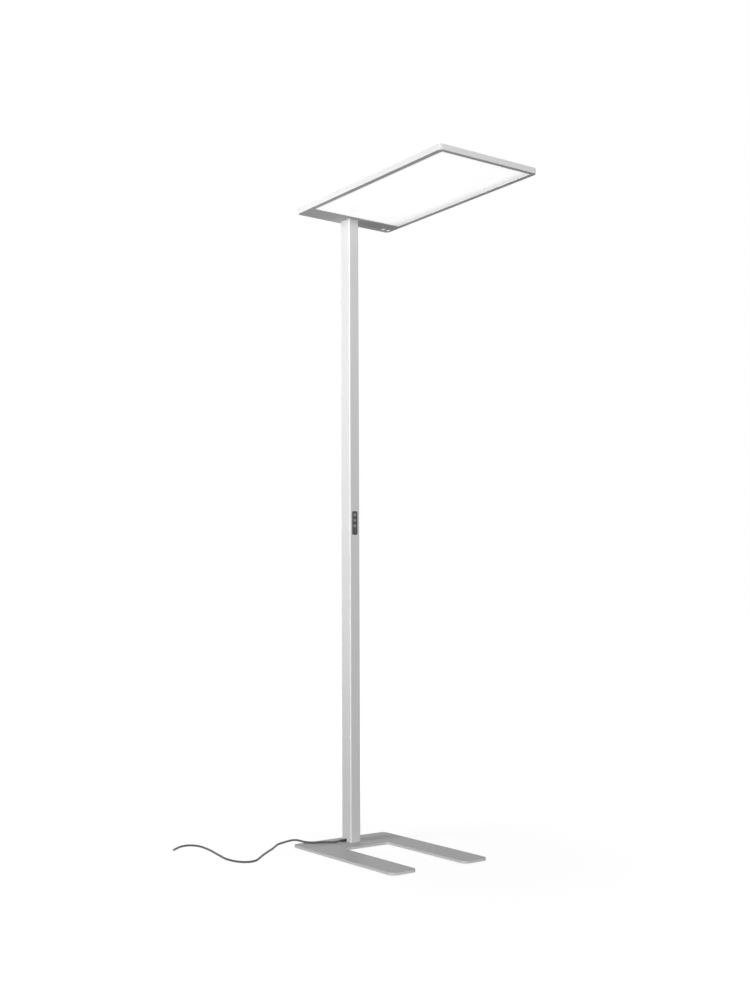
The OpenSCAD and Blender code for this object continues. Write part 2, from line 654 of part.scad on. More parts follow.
// Centripetal smoothing is not needed at these even steps: each step gets
// one extra ring, on the smooth curve through its neighbours.
function at(i) = cord_pts[max(0, min(len(cord_pts) - 1, i))];
function mid(i) = (-at(i - 1) + 9 * at(i) + 9 * at(i + 1) - at(i + 2)) / 16;
cord_path = [for (i = [0:len(cord_pts) - 1]) each i < len(cord_pts) - 1 ? [at(i), mid(i)] : [at(i)]];
function unit(v) = v / norm(v);
function dir(i) = i == 0 ? [0, -1, 0] : unit(cord_path[min(i + 1, len(cord_path) - 1)] - cord_path[i - 1]);
function ring(i, r) = let(t = dir(i), s = unit(cross(t, [0, 0, 1])), u = cross(s, t))
    [for (k = [0:cord_sides - 1]) let(a = 360 * (k + 0.5) / cord_sides) cord_path[i] + r * (cos(a) * s + sin(a) * u)];

module mains_cord() color([0.26, 0.26, 0.27]) {
    n = len(cord_path);
    m = cord_sides;
    polyhedron(
        points = [for (i = [0:n - 1]) each ring(i, cord_d / 2)],
        faces = concat([[for (k = [m - 1:-1:0]) k]],
            [for (i = [0:n - 2], k = [0:m - 1]) each [
                [i * m + k, i * m + (k + 1) % m, (i + 1) * m + (k + 1) % m],
                [i * m + k, (i + 1) * m + (k + 1) % m, (i + 1) * m + k]]],
            [[for (k = [0:m - 1]) (n - 1) * m + k]]));
}

in_row_frame() {
    base_plate();
    base_pads();
    base_screws();
    post_tube();
    cord_gland();
    control_housing();
    button_brighter();
    button_power();
    button_dimmer();
    panel_window();
    control_board();
    tact_switches();
    control_lead();
    mains_lead();
    head_frame();
    head_bracket();
    head_screws();
    lead_grommet();
    diffuser();
    light_guide();
    reflector_sheet();
    heat_plate();
    backing_pad();
    led_strip_near();
    led_strip_far();
    top_cover();
    cover_screws();
    driver();
    driver_screws();
    terminal_block();
    sensor_board();
    sensor_lenses();
    sensor_lights();
    mains_cord();
}
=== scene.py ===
"""Looks of the office floor lamp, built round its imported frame.

Everything is in metres and in the frame's own axes: +X along the head and the
base's legs, +Y to the left, +Z up, with the floor at zero.
"""

import logging
import math
from contextlib import contextmanager
from dataclasses import dataclass, field
from enum import Enum
from typing import Callable, Iterator, Sequence

import bmesh
import bpy
from mathutils import Matrix, Vector


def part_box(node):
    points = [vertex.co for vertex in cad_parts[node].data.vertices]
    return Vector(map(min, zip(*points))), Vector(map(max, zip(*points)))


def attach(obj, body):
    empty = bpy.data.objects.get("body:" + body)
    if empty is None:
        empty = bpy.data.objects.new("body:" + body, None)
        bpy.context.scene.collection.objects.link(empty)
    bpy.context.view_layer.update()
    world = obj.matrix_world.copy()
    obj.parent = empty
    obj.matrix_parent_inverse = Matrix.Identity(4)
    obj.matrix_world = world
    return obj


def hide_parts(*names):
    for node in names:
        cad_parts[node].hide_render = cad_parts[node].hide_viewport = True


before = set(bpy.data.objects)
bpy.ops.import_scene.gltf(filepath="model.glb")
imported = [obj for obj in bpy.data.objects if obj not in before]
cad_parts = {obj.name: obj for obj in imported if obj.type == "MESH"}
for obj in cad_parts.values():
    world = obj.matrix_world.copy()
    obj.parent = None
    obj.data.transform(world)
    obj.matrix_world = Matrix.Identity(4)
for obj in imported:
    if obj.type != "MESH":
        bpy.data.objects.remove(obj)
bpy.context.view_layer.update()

LOG = logging.getLogger("floor_lamp")
MM = 0.001
NEAR = 0.1 * MM  # how near a plane something counts as lying in it
ALONG = 0.999  # the least share of an edge's run that counts as parallel
WELD = 2e-6  # vertices nearer to each other than this become one
POST_AXIS_X = -0.305  # the post's axis
PANEL_Z = 978 * MM  # the control panel's middle
# The middles of the post's four screw channels.
CHANNELS = [
    (POST_AXIS_X + sx * 18.65 * MM, sy * 12.65 * MM) for sx in (-1, 1) for sy in (-1, 1)
]

Vec = tuple[float, float, float]
Number = float | int
Pairs = Sequence[tuple[float, float]]


# ---------------------------------------------------------------- modelling


class Pick(Enum):
    """What a selection is made of."""

    FACE = "FACE"
    EDGE = "EDGE"
    VERT = "VERT"


class Facing(Enum):
    """The way in which a turned piece's axis points, as Euler angles."""

    UP = (0.0, 0.0, 0.0)
    DOWN = (math.pi, 0.0, 0.0)
    FORWARD = (0.0, math.pi / 2, 0.0)
    RIGHT = (math.pi / 2, 0.0, 0.0)


@dataclass(frozen=True)
class Spot:
    """Where a face or an edge lies: its middle, and its normal or run."""

    at: Vector
    way: Vector


class Bench:
    """One mesh on the bench, shaped with Blender's own operators."""

    def __init__(self, name: str) -> None:
        """Takes the primitive that was just added.

        Args:
            name: the piece's name.
        """
        self.obj = bpy.context.active_object
        self.obj.name = name
        self.obj.data.name = name
        self.settle()

    # -- starting shapes

    @classmethod
    def block(cls, name: str, low: Sequence[float], high: Sequence[float]) -> "Bench":
        """Starts from a cube that fills a box.

        Args:
            name: the piece's name.
            low: the box's lowest corner.
            high: its highest corner.

        Returns:
            The new piece.
        """
        bpy.ops.object.select_all(action="DESELECT")
        middle = [(a + b) / 2 for a, b in zip(low, high)]
        bpy.ops.mesh.primitive_cube_add(size=1.0, location=middle)
        bpy.context.active_object.scale = [b - a for a, b in zip(low, high)]
        return cls(name)

    @classmethod
    def sheet(cls, name: str, low: Sequence[float], high: Sequence[float], z: float) -> "Bench":
        """Starts from a flat plane between two corners.

        Args:
            name: the piece's name.
            low: the lowest x and y.
            high: the highest x and y.
            z: the plane's height.

        Returns:
            The new piece.
        """
        bpy.ops.object.select_all(action="DESELECT")
        bpy.ops.mesh.primitive_plane_add(
            size=1.0, location=((low[0] + high[0]) / 2, (low[1] + high[1]) / 2, z)
        )
        bpy.context.active_object.scale = (high[0] - low[0], high[1] - low[1], 1.0)
        return cls(name)

    @classmethod
    def turned(
        cls,
        name: str,
        profile: Pairs,
        place: Sequence[float],
        facing: Facing = Facing.UP,
        sides: int = 48,
    ) -> "Bench":
        """Raises a round piece ring by ring from a disc.

        Args:
            name: the piece's name.
            profile: its rings as (radius, height), from one cap to the other.
            place: where the profile's origin comes to lie.
            facing: the way in which its heights run.
            sides: the number of sides.

        Returns:
            The new piece.
        """
        bpy.ops.object.select_all(action="DESELECT")
        radius, height = profile[0]
        bpy.ops.mesh.primitive_circle_add(
            vertices=sides, radius=radius, fill_type="NGON", location=(0, 0, height)
        )
        piece = cls(name)
        with piece.editing(Pick.FACE):
            bpy.ops.mesh.select_all(action="SELECT")
            for next_radius, next_height in profile[1:]:
                bpy.ops.mesh.extrude_region_move(
                    TRANSFORM_OT_translate={"value": (0, 0, next_height - height)}
                )
                grow = next_radius / radius
                if abs(grow - 1) > 1e-6:
                    bpy.ops.transform.resize(
                        value=(grow, grow, 1), center_override=(0, 0, next_height)
                    )
                radius, height = next_radius, next_height
            piece.turn_outwards()
        piece.obj.rotation_euler = facing.value
        piece.obj.location = place
        piece.settle()
        return piece

    # -- working

    def take(self) -> None:
        """Makes the piece the active object and the only selected one."""
        bpy.ops.object.select_all(action="DESELECT")
        self.obj.select_set(True)
        bpy.context.view_layer.objects.active = self.obj

    def settle(self) -> None:
        """Moves the piece's place, turn and scale into its mesh."""
        self.take()
        bpy.ops.object.transform_apply(location=True, rotation=True, scale=True)

    @staticmethod
    def turn_outwards() -> None:
        """Turns all faces outwards, in edit mode."""
        bpy.ops.mesh.select_all(action="SELECT")
        bpy.ops.mesh.normals_make_consistent(inside=False)

    @contextmanager
    def editing(self, pick: Pick = Pick.FACE) -> Iterator[None]:
        """Opens the piece in edit mode.

        Args:
            pick: what is selected there.
        """
        self.take()
        bpy.ops.object.mode_set(mode="EDIT")
        bpy.ops.mesh.select_mode(type=pick.value)
        try:
            yield
        finally:
            bpy.ops.object.mode_set(mode="OBJECT")

    def choose(self, pick: Pick, test: Callable[[Spot], bool]) -> None:
        """Selects, in edit mode, what lies where a test says.

        Args:
            pick: faces or edges.
            test: says whether a face or an edge at a spot is taken.

        Raises:
            ValueError: if there are none.
        """

        def spot(item: bmesh.types.BMFace | bmesh.types.BMEdge) -> Spot:
            """Where a face or an edge lies."""
            if pick is Pick.FACE:
                return Spot(item.calc_center_median(), item.normal)
            a, b = (v.co for v in item.verts)
            return Spot((a + b) / 2, (b - a).normalized())

        bpy.ops.mesh.select_all(action="DESELECT")
        mesh = bmesh.from_edit_mesh(self.obj.data)
        items = mesh.faces if pick is Pick.FACE else mesh.edges
        taken = [item for item in items if test(spot(item))]
        if not taken:
            raise ValueError(f"{self.obj.name}: nothing is where the selection looks")
        for item in taken:
            item.select_set(True)
        bmesh.update_edit_mesh(self.obj.data)

    def round_edges(self, test: Callable[[Spot], bool], radius: float, segments: int) -> None:
        """Rounds the edges that a test names.

        Args:
            test: says which edges.
            radius: the rounding's radius.
            segments: its number of facets.
        """
        with self.editing(Pick.EDGE):
            self.choose(Pick.EDGE, test)
            bpy.ops.mesh.bevel(
                offset=radius, segments=segments, affect="EDGES", clamp_overlap=False
            )

    def split(self, place: Sequence[float], normal: Sequence[float]) -> None:
        """Cuts a line right through the piece and keeps both sides.

        Args:
            place: a point of the cutting plane.
            normal: the plane's normal.
        """
        with self.editing(Pick.FACE):
            bpy.ops.mesh.select_all(action="SELECT")
            bpy.ops.mesh.bisect(plane_co=place, plane_no=normal)

    def apply(self, kind: str, **settings: object) -> None:
        """Adds a modifier and applies it at once.

        Args:
            kind: the modifier's type.
            **settings: its settings.
        """
        self.take()
        bpy.ops.object.modifier_add(type=kind)
        modifier = self.obj.modifiers[-1]
        for key, value in settings.items():
            setattr(modifier, key, value)
        bpy.ops.object.modifier_apply(modifier=modifier.name)

    def cut(self, *tools: "Bench") -> None:
        """Cuts pieces away from this one.

        Args:
            *tools: the pieces, which are used up.
        """
        for tool in tools:
            self.apply("BOOLEAN", operation="DIFFERENCE", solver="EXACT", object=tool.obj)
            mesh = tool.obj.data
            bpy.data.objects.remove(tool.obj)
            bpy.data.meshes.remove(mesh)

    def drill(
        self,
        profile: Pairs,
        places: Sequence[Sequence[float]],
        facing: Facing = Facing.UP,
        sides: int = 32,
    ) -> None:
        """Cuts the same turned hole at several places.

        Args:
            profile: the hole's rings as (radius, height).
            places: where the profile's origin comes to lie.
            facing: the way in which its heights run.
            sides: the number of sides.
        """
        for place in places:
            self.cut(Bench.turned("hole", profile, place, facing, sides))

    def soften(self, width: float, segments: int, angle: float) -> None:
        """Rounds by a width every edge that is sharper than an angle in degrees."""
        self.apply(
            "BEVEL",
            width=width,
            segments=segments,
            limit_method="ANGLE",
            angle_limit=math.radians(angle),
            use_clamp_overlap=True,
        )

    def copy_to(self, name: str, shift: Sequence[float]) -> "Bench":
        """Copies the piece, with a mesh of its own.

        Args:
            name: the copy's name.
            shift: how far the copy is moved.

        Returns:
            The copy.
        """
        twin = self.obj.copy()
        twin.data = self.obj.data.copy()
        bpy.context.scene.collection.objects.link(twin)
        twin.location = shift
        bpy.context.view_layer.objects.active = twin
        return Bench(name)

    def gather(self, others: Sequence["Bench"]) -> None:
        """Joins copies into this piece's object, without cutting.

        Args:
            others: the copies.
        """
        self.take()
        for other in others:
            other.obj.select_set(True)
        bpy.ops.object.join()

    def repeat(self, places: Pairs) -> None:
        """Sets copies of the piece at other places of the floor plan.

        Args:
            places: x and y of each, the first where the piece itself stands.
        """
        x0, y0 = places[0]
        self.gather([self.copy_to("copy", (x - x0, y - y0, 0)) for x, y in places[1:]])

    def hand_over(
        self,
        material: bpy.types.Material,
        slot: str,
        nodes: Sequence[str] = (),
        body: str = "lamp",
        smooth: float = 34.0,
    ) -> bpy.types.Object:
        """Dresses the finished piece and ties it to its body.

        Args:
            material: its finish.
            slot: the record's slot that the finish belongs to; not used.
            nodes: the frame's nodes that it stands for.
            body: the body that it rides on.
            smooth: the largest angle, in degrees, that is shaded smooth.

        Returns:
            The finished object.
        """
        with self.editing(Pick.VERT):
            bpy.ops.mesh.select_all(action="SELECT")
            bpy.ops.mesh.remove_doubles(threshold=WELD)
        bpy.ops.object.shade_smooth_by_angle(angle=math.radians(smooth))
        self.apply("WEIGHTED_NORMAL", mode="FACE_AREA", weight=80, keep_sharp=True)
        self.obj.data.materials.clear()
        self.obj.data.materials.append(material)
        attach(self.obj, body)
        if nodes:
            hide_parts(*nodes)
        faces = len(self.obj.data.polygons)
        LOG.info("%s: %d faces, finish %s", self.obj.name, faces, material.name)
        return self.obj


def upright(spot: Spot) -> bool:
    """True for an edge that runs straight up."""
    return abs(spot.way.z) > ALONG


def rounded_block(
    name: str, low: Sequence[float], high: Sequence[float], radius: float, segments: int = 8
) -> Bench:
    """A block with its four upright edges rounded.

    Args:
        name: the piece's name.
        low: its lowest corner.
        high: its highest corner.
        radius: the radius of the upright edges.
        segments: the number of facets at each.

    Returns:
        The new piece.
    """
    piece = Bench.block(name, low, high)
    piece.round_edges(upright, radius, segments)
    return piece


def face_prism(
    name: str, x: Sequence[float], half: Sequence[float], radius: float, z: float
) -> Bench:
    """A rounded prism along X, for what lies in the post's front face.

    Args:
        name: the piece's name.
        x: where it starts and ends.
        half: half its width and half its height.
        radius: the radius of its corners.
        z: its middle's height.

    Returns:
        The prism.
    """
    piece = Bench.block(name, (x[0], -half[0], z - half[1]), (x[1], half[0], z + half[1]))
    piece.round_edges(lambda s: abs(s.way.x) > ALONG, radius, 8)
    return piece


# ---------------------------------------------------------------- materials


def shade(level: float, warm: float = 0.0) -> tuple[float, float, float, float]:
    """A grey of an 8-bit screen level as linear colour.

    Args:
        level: the screen level, 0 to 255.
        warm: levels added to red and taken from blue.

    Returns:
        Linear red, green, blue and alpha.
    """

    def linear(value: float) -> float:
        """One channel's screen level as linear light."""
        v = max(0.0, min(1.0, value / 255))
        return v / 12.92 if v <= 0.04045 else ((v + 0.055) / 1.055) ** 2.4

    return linear(level + warm), linear(level), linear(level - warm), 1.0


class Wire:
    """A node's output, on which Python's operators add Math nodes."""

    def __init__(self, recipe: "Recipe", socket: bpy.types.NodeSocket) -> None:
        """Wraps a socket of a recipe's tree."""
        self.recipe = recipe
        self.socket = socket

    def _math(self, operation: str, first: object, second: object) -> "Wire":
        """Adds one Math node."""
        return self.recipe.add("ShaderNodeMath", {"operation": operation}, {0: first, 1: second})

    def __add__(self, other: "Wire | Number") -> "Wire":
        """self + other."""
        return self._math("ADD", self, other)

    def __radd__(self, other: Number) -> "Wire":
        """other + self."""
        return self._math("ADD", other, self)

    def __sub__(self, other: "Wire | Number") -> "Wire":
        """self - other."""
        return self._math("SUBTRACT", self, other)

    def __rsub__(self, other: Number) -> "Wire":
        """other - self."""
        return self._math("SUBTRACT", other, self)

    def __mul__(self, other: "Wire | Number") -> "Wire":
        """self * other."""
        return self._math("MULTIPLY", self, other)

    def __rmul__(self, other: Number) -> "Wire":
        """other * self."""
        return self._math("MULTIPLY", other, self)

    def __pow__(self, other: "Wire | Number") -> "Wire":
        """self ** other."""
        return self._math("POWER", self, other)

    def __lt__(self, other: "Wire | Number") -> "Wire":
        """1 where self < other."""
        return self._math("LESS_THAN", self, other)

    def __gt__(self, other: "Wire | Number") -> "Wire":
        """1 where self > other."""
        return self._math("GREATER_THAN", self, other)

    def __abs__(self) -> "Wire":
        """The value without its sign."""
        return self._math("ABSOLUTE", self, 0.0)

    def at_most(self, other: "Wire | Number") -> "Wire":
        """The smaller of the two."""
        return self._math("MINIMUM", self, other)

    def at_least(self, other: "Wire | Number") -> "Wire":
        """The larger of the two."""
        return self._math("MAXIMUM", self, other)

    def sine(self) -> "Wire":
        """The sine of the value."""
        return self._math("SINE", self, 0.0)

    def span(self, low: float, high: float) -> "Wire":
        """The value's place between two others, smooth and kept to 0..1."""
        return self.recipe.add(
            "ShaderNodeMapRange",
            {"interpolation_type": "SMOOTHSTEP"},
            {"Value": self, "From Min": low, "From Max": high},
        )


class Recipe:
    """The node tree of one material or world."""

    def __init__(self, tree: bpy.types.NodeTree) -> None:
        """Takes a tree and empties it."""
        self.tree = tree
        tree.nodes.clear()

    def add(
        self,
        kind: str,
        settings: dict[str, object] | None = None,
        values: dict[str | int, object] | None = None,
        output: str | int = 0,
    ) -> Wire:
        """Adds a node.

        Args:
            kind: the node's type.
            settings: its settings.
            values: values, or wires, for its inputs.
            output: the output that is wanted.

        Returns:
            The wire at that output.
        """
        node = self.tree.nodes.new(kind)
        for key, value in (settings or {}).items():
            setattr(node, key, value)
        for key, value in (values or {}).items():
            if isinstance(value, Wire):
                self.tree.links.new(value.socket, node.inputs[key])
            else:
                node.inputs[key].default_value = value
        return Wire(self, node.outputs[output])

    def surface(self, values: dict[str | int, object]) -> Wire:
        """A Principled shader with these inputs."""
        return self.add("ShaderNodeBsdfPrincipled", None, values)

    def place(self, scale: Vec | None = None) -> Wire:
        """Object coordinates, scaled along each axis where a scale is given."""
        spot = self.add("ShaderNodeTexCoord", output="Object")
        if scale is None:
            return spot
        return self.add("ShaderNodeMapping", None, {"Vector": spot, "Scale": scale})

    def axes(self, spot: Wire) -> tuple[Wire, Wire, Wire]:
        """The three numbers of a vector."""
        first = self.add("ShaderNodeSeparateXYZ", None, {0: spot})
        node = first.socket.node
        return first, Wire(self, node.outputs[1]), Wire(self, node.outputs[2])

    def noise(self, spot: Wire, scale: float, detail: float = 2.0, rough: float = 0.5) -> Wire:
        """Soft noise about one half.

        Args:
            spot: where it is read.
            scale: waves per metre.
            detail: octaves.
            rough: their strength.

        Returns:
            The noise.
        """
        return self.add(
            "ShaderNodeTexNoise",
            None,
            {"Vector": spot, "Scale": scale, "Detail": detail, "Roughness": rough},
        )

    def mix(self, factor: "Wire | float", first: object, second: object) -> Wire:
        """Blends two colours: the first at factor 0, the second at 1."""
        return self.add(
            "ShaderNodeMix", {"data_type": "RGBA"}, {0: factor, 6: first, 7: second}, output=2
        )

    def bump(self, height: Wire, distance: float, strength: float = 1.0) -> Wire:
        """A normal from a height of 0 to 1, where 1 stands for a distance in metres."""
        return self.add(
            "ShaderNodeBump", None, {"Height": height, "Distance": distance, "Strength": strength}
        )

    def close(self, shader: Wire) -> None:
        """Ties the shader to the material's output."""
        out = self.tree.nodes.new("ShaderNodeOutputMaterial")
        self.tree.links.new(shader.socket, out.inputs["Surface"])


@dataclass(frozen=True)
class Finish:
    """A finish: the base of all of them."""

    name: str

    def shader(self, recipe: Recipe) -> Wire:
        """Builds the finish's shader. Each kind of finish has its own."""
        raise NotImplementedError

    def material(self) -> bpy.types.Material:
        """The finish's material, made when it is first asked for."""
        made = bpy.data.materials.get(self.name)
        if made is None:
            made = bpy.data.materials.new(self.name)
            made.use_nodes = True
            recipe = Recipe(made.node_tree)
            recipe.close(self.shader(recipe))
            made.diffuse_color = (0.6, 0.6, 0.6, 1.0)
        return made


@dataclass(frozen=True)
class SatinCoat(Finish):
    """Satin powder coat on metal: fine orange peel and faint clouding."""

    level: float = 213.0
    roughness: float = 0.36
    specular: float = 0.05
    peel: float = 4.0e-5
    grain: float = 900.0
    # Painted light: below the height the colour is lighter, for the sides of a plate that the light
    # falls on more than its top.
    rim: tuple[float, float] | None = None  # a height, and the level below it
    # A painted highlight along a post's upright corners: half the section's width and depth, the
    # corners' radius, and the highlight's level.
    corners: tuple[float, float, float, float] | None = None

    def shader(self, recipe: Recipe) -> Wire:
        """Clouded colour and a fine peel, with painted light: lighter below a rim height, and a
        painted highlight along corners.
        """
        spot = recipe.place()
        cloud = recipe.noise(spot, 7.0, 3.0)
        fleck = recipe.noise(spot, 2600.0, 1.0)
        blend = cloud * 0.6 + fleck * 0.4
        colour = recipe.mix(blend, shade(self.level - 5), shade(self.level + 5))
        # Painted light: the plate's sides are lighter than its top.
        if self.rim is not None:
            height, level = self.rim
            _, _, z = recipe.axes(spot)
            colour = recipe.mix(z.span(height, height - 0.6 * MM), colour, shade(level))
        # Painted highlight: the colour is lighter along the upright corners of the post's section.
        if self.corners is not None:
            half_x, half_y, radius, level = self.corners
            x, y, _ = recipe.axes(spot)
            deep = (abs(x - POST_AXIS_X) - (half_x - radius)).at_most(abs(y) - (half_y - radius))
            edge_highlight = deep.span(radius * 0.15, radius * 0.6)
            colour = recipe.mix(edge_highlight, colour, shade(level))
        peel = recipe.noise(spot, self.grain, 2.0, 0.55)
        rough = self.roughness - 0.05 + cloud * 0.06 + peel * 0.04
        return recipe.surface(
            {
                "Base Color": colour,
                "Roughness": rough,
                "Specular IOR Level": self.specular,
                "Normal": recipe.bump(peel, self.peel),
            },
        )


@dataclass(frozen=True)
class MouldedPlastic(Finish):
    """Moulded plastic with a fine spark-eroded grain."""

    level: float = 70.0
    roughness: float = 0.45
    specular: float = 0.5
    grain: float = 1800.0
    depth: float = 3.0e-5
    warm: float = 0.0

    def shader(self, recipe: Recipe) -> Wire:
        """Even colour with a grain that breaks its sheen."""
        spot = recipe.place()
        cloud = recipe.noise(spot, 40.0, 2.0)
        grain = recipe.noise(spot, self.grain, 3.0, 0.6)
        colour = recipe.mix(
            cloud * 0.5 + grain * 0.5,
            shade(self.level * 0.94, self.warm),
            shade(self.level * 1.06, self.warm),
        )
        return recipe.surface(
            {
                "Base Color": colour,
                "Roughness": self.roughness - 0.06 + grain * 0.12,
                "Specular IOR Level": self.specular,
                "Normal": recipe.bump(grain, self.depth),
            },
        )


@dataclass(frozen=True)
class Rubber(Finish):
    """Matt rubber or soft PVC with a dusty, uneven skin."""

    level: float = 70.0
    roughness: float = 0.62
    grain: float = 1400.0
    depth: float = 4.0e-5

    def shader(self, recipe: Recipe) -> Wire:
        """Dark colour with a lighter bloom and a fine skin."""
        spot = recipe.place()
        bloom = recipe.noise(spot, 55.0, 4.0, 0.6)
        skin = recipe.noise(spot, self.grain, 2.0, 0.6)
        dark, pale = shade(self.level * 0.93), shade(self.level * 1.1)
        colour = recipe.mix(bloom.span(0.35, 0.75), dark, pale)
        return recipe.surface(
            {
                "Base Color": colour,
                "Roughness": self.roughness - 0.08 + bloom * 0.14,
                "Specular IOR Level": 0.35,
                "Normal": recipe.bump(skin, self.depth),
            },
        )


@dataclass(frozen=True)
class BareMetal(Finish):
    """Rolled or turned bare metal with fine lines along one axis."""

    level: float = 205.0
    roughness: float = 0.3
    stretch: Vec = (1.0, 40.0, 40.0)

    def shader(self, recipe: Recipe) -> Wire:
        """Metal with stretched lines in its colour, sheen and skin."""
        spot = recipe.place(self.stretch)
        lines = recipe.noise(spot, 60.0, 4.0, 0.65)
        colour = recipe.mix(lines, shade(self.level - 14), shade(self.level + 10))
        return recipe.surface(
            {
                "Base Color": colour,
                "Metallic": 1.0,
                "Roughness": self.roughness - 0.06 + lines * 0.12,
                "Normal": recipe.bump(lines, 2.0e-5),
            },
        )


@dataclass(frozen=True)
class OpalPanel(Finish):
    """The glowing diffuser: microprismatic opal acrylic, dimmer by its rims."""

    low: Vec = (0.0, 0.0, 0.0)
    high: Vec = (1.0, 1.0, 1.0)
    glow: float = 0.71
    # What is left of the glow at the rear, front, right and left rim, and how
    # far from the rim it is whole again.
    rims: tuple[tuple[float, float], ...] = (
        (0.93, 0.2),
        (0.96, 0.03),
        (0.94, 0.03),
        (0.69, 0.042),
    )
    prism: float = 1.2 * MM

    def shader(self, recipe: Recipe) -> Wire:
        """Glow that falls off by each rim, over a fine grid of prisms."""
        spot = recipe.place()
        x, y, _ = recipe.axes(spot)
        level = 1.0
        away = (x - self.low[0], self.high[0] - x, y - self.low[1], self.high[1] - y)
        for distance, (left, reach) in zip(away, self.rims):
            level = (distance.span(0.0, reach) * (1 - left) + left) * level
        turn = math.tau / self.prism
        prisms = ((x * turn).sine() * (y * turn).sine()) * 0.5 + 0.5
        cloud = recipe.noise(spot, 9.0, 2.0)
        level = level * (0.985 + cloud * 0.02 + prisms * 0.01)
        glow = recipe.add("ShaderNodeCombineColor", None, {0: level, 1: level, 2: level * 0.996})
        return recipe.surface(
            {
                "Base Color": recipe.mix(prisms, shade(228), shade(236)),
                "Roughness": 0.36,
                "Specular IOR Level": 0.1,
                "Emission Color": glow,
                "Emission Strength": self.glow,
                "Normal": recipe.bump(prisms, 6.0e-5, 0.6),
            },
        )


@dataclass(frozen=True)
class MilkyLens(Finish):
    """Milky moulded lens with fine rings and a painted glow: it emits light, though it is no lamp.
    """

    centres: tuple[tuple[float, float], ...] = ((0.0, 0.0),)
    level: float = 236.0
    pitch: float = 0.9 * MM
    # A painted glow: emission that makes the lens bright, though it is no lamp.
    glow: float = 0.42

    def shader(self, recipe: Recipe) -> Wire:
        """Fine rings about the nearest lens's middle, in its colour and in its painted glow."""
        spot = recipe.place()
        x, y, _ = recipe.axes(spot)
        nearest = None
        for cx, cy in self.centres:
            away = ((x - cx) ** 2 + (y - cy) ** 2) ** 0.5
            nearest = away if nearest is None else nearest.at_most(away)
        rings = (nearest * (math.tau / self.pitch)).sine() * 0.5 + 0.5
        return recipe.surface(
            {
                "Base Color": recipe.mix(rings, shade(self.level - 10), shade(self.level + 6)),
                "Roughness": 0.22 + rings * 0.06,
                "Emission Color": recipe.mix(rings, shade(244), shade(255)),
                "Emission Strength": self.glow,
                "Normal": recipe.bump(rings, 6.0e-5),
            },
        )


@dataclass(frozen=True)
class CoreEnds(Finish):
    """The three cores of a cut cord: coloured insulation, then bare copper."""

    at: Vec = (0.0, 0.0, 0.0)
    way: Vec = (1.0, 0.0, 0.0)
    side: Vec = (0.0, 1.0, 0.0)
    bare: float = 1.0 * MM
    apart: float = 0.4 * MM

    def shader(self, recipe: Recipe) -> Wire:
        """Each core's colour by its side of the cord, copper past the insulation."""
        spot = recipe.place()
        kind = "ShaderNodeVectorMath"
        from_end = recipe.add(kind, {"operation": "SUBTRACT"}, {0: spot, 1: self.at})
        across, out = (
            recipe.add(kind, {"operation": "DOT_PRODUCT"}, {0: from_end, 1: way}, "Value")
            for way in (self.side, self.way)
        )
        grain = recipe.noise(spot, 2600.0, 2.0)
        earth = recipe.mix(grain.span(0.4, 0.6), (0.10, 0.32, 0.07, 1.0), (0.62, 0.55, 0.05, 1.0))
        jacket = recipe.mix(across > self.apart, earth, (0.05, 0.16, 0.45, 1.0))
        jacket = recipe.mix(across < -self.apart, jacket, (0.19, 0.08, 0.035, 1.0))
        copper = out > self.bare
        strands = recipe.mix(grain, (0.72, 0.34, 0.2, 1.0), (0.86, 0.46, 0.3, 1.0))
        return recipe.surface(
            {
                "Base Color": recipe.mix(copper, jacket, strands),
                "Metallic": copper,
                "Roughness": 0.34 + grain * 0.1,
                "Normal": recipe.bump(grain, 3.0e-5),
            },
        )


@dataclass(frozen=True)
class Board(Finish):
    """Printed circuit board: solder mask with copper tracks under it."""

    base: tuple[float, float, float, float] = (0.02, 0.11, 0.05, 1.0)
    track: tuple[float, float, float, float] = (0.04, 0.19, 0.08, 1.0)

    def shader(self, recipe: Recipe) -> Wire:
        """Tracks as stretched noise, cut to hard edges."""
        tracks = recipe.noise(recipe.place((1.0, 6.0, 1.0)), 160.0, 1.0).span(0.5, 0.53)
        return recipe.surface(
            {
                "Base Color": recipe.mix(tracks, self.base, self.track),
                "Roughness": 0.32 + tracks * 0.05,
                "Normal": recipe.bump(tracks, 4.0e-5),
            },
        )


@dataclass(frozen=True)
class ClearSheet(Finish):
    """Clear acrylic sheet with a printed dot pattern, faintly tinted."""

    level: float = 236.0
    pitch: float = 4 * MM

    def shader(self, recipe: Recipe) -> Wire:
        """Mostly clear, with white dots that throw light out."""
        spot = recipe.place()
        x, y, _ = recipe.axes(spot)
        turn = math.tau / self.pitch
        dots = (((x * turn).sine() + (y * turn).sine()) * 0.5).span(0.4, 0.7)
        return recipe.surface(
            {
                "Base Color": recipe.mix(dots, shade(self.level), shade(252)),
                "Roughness": 0.08 + dots * 0.4,
                "Alpha": 0.35 + dots * 0.5,
                "IOR": 1.49,
            },
        )


@dataclass(frozen=True)
class DiodeBoard(Finish):
    """White board with a phosphor glow at each diode."""

    pitch: float = 12 * MM

    def shader(self, recipe: Recipe) -> Wire:
        """Yellow dice on white, with a soft glow."""
        spot = recipe.place()
        x, _, _ = recipe.axes(spot)
        dice = (x * (math.tau / self.pitch)).sine().span(0.1, 0.5)
        return recipe.surface(
            {
                "Base Color": recipe.mix(dice, shade(232), (0.86, 0.74, 0.26, 1.0)),
                "Roughness": 0.4 + dice * 0.1,
                "Emission Color": recipe.mix(dice, (0.0, 0.0, 0.0, 1.0), (1.0, 0.9, 0.62, 1.0)),
                "Emission Strength": 0.5,
            },
        )


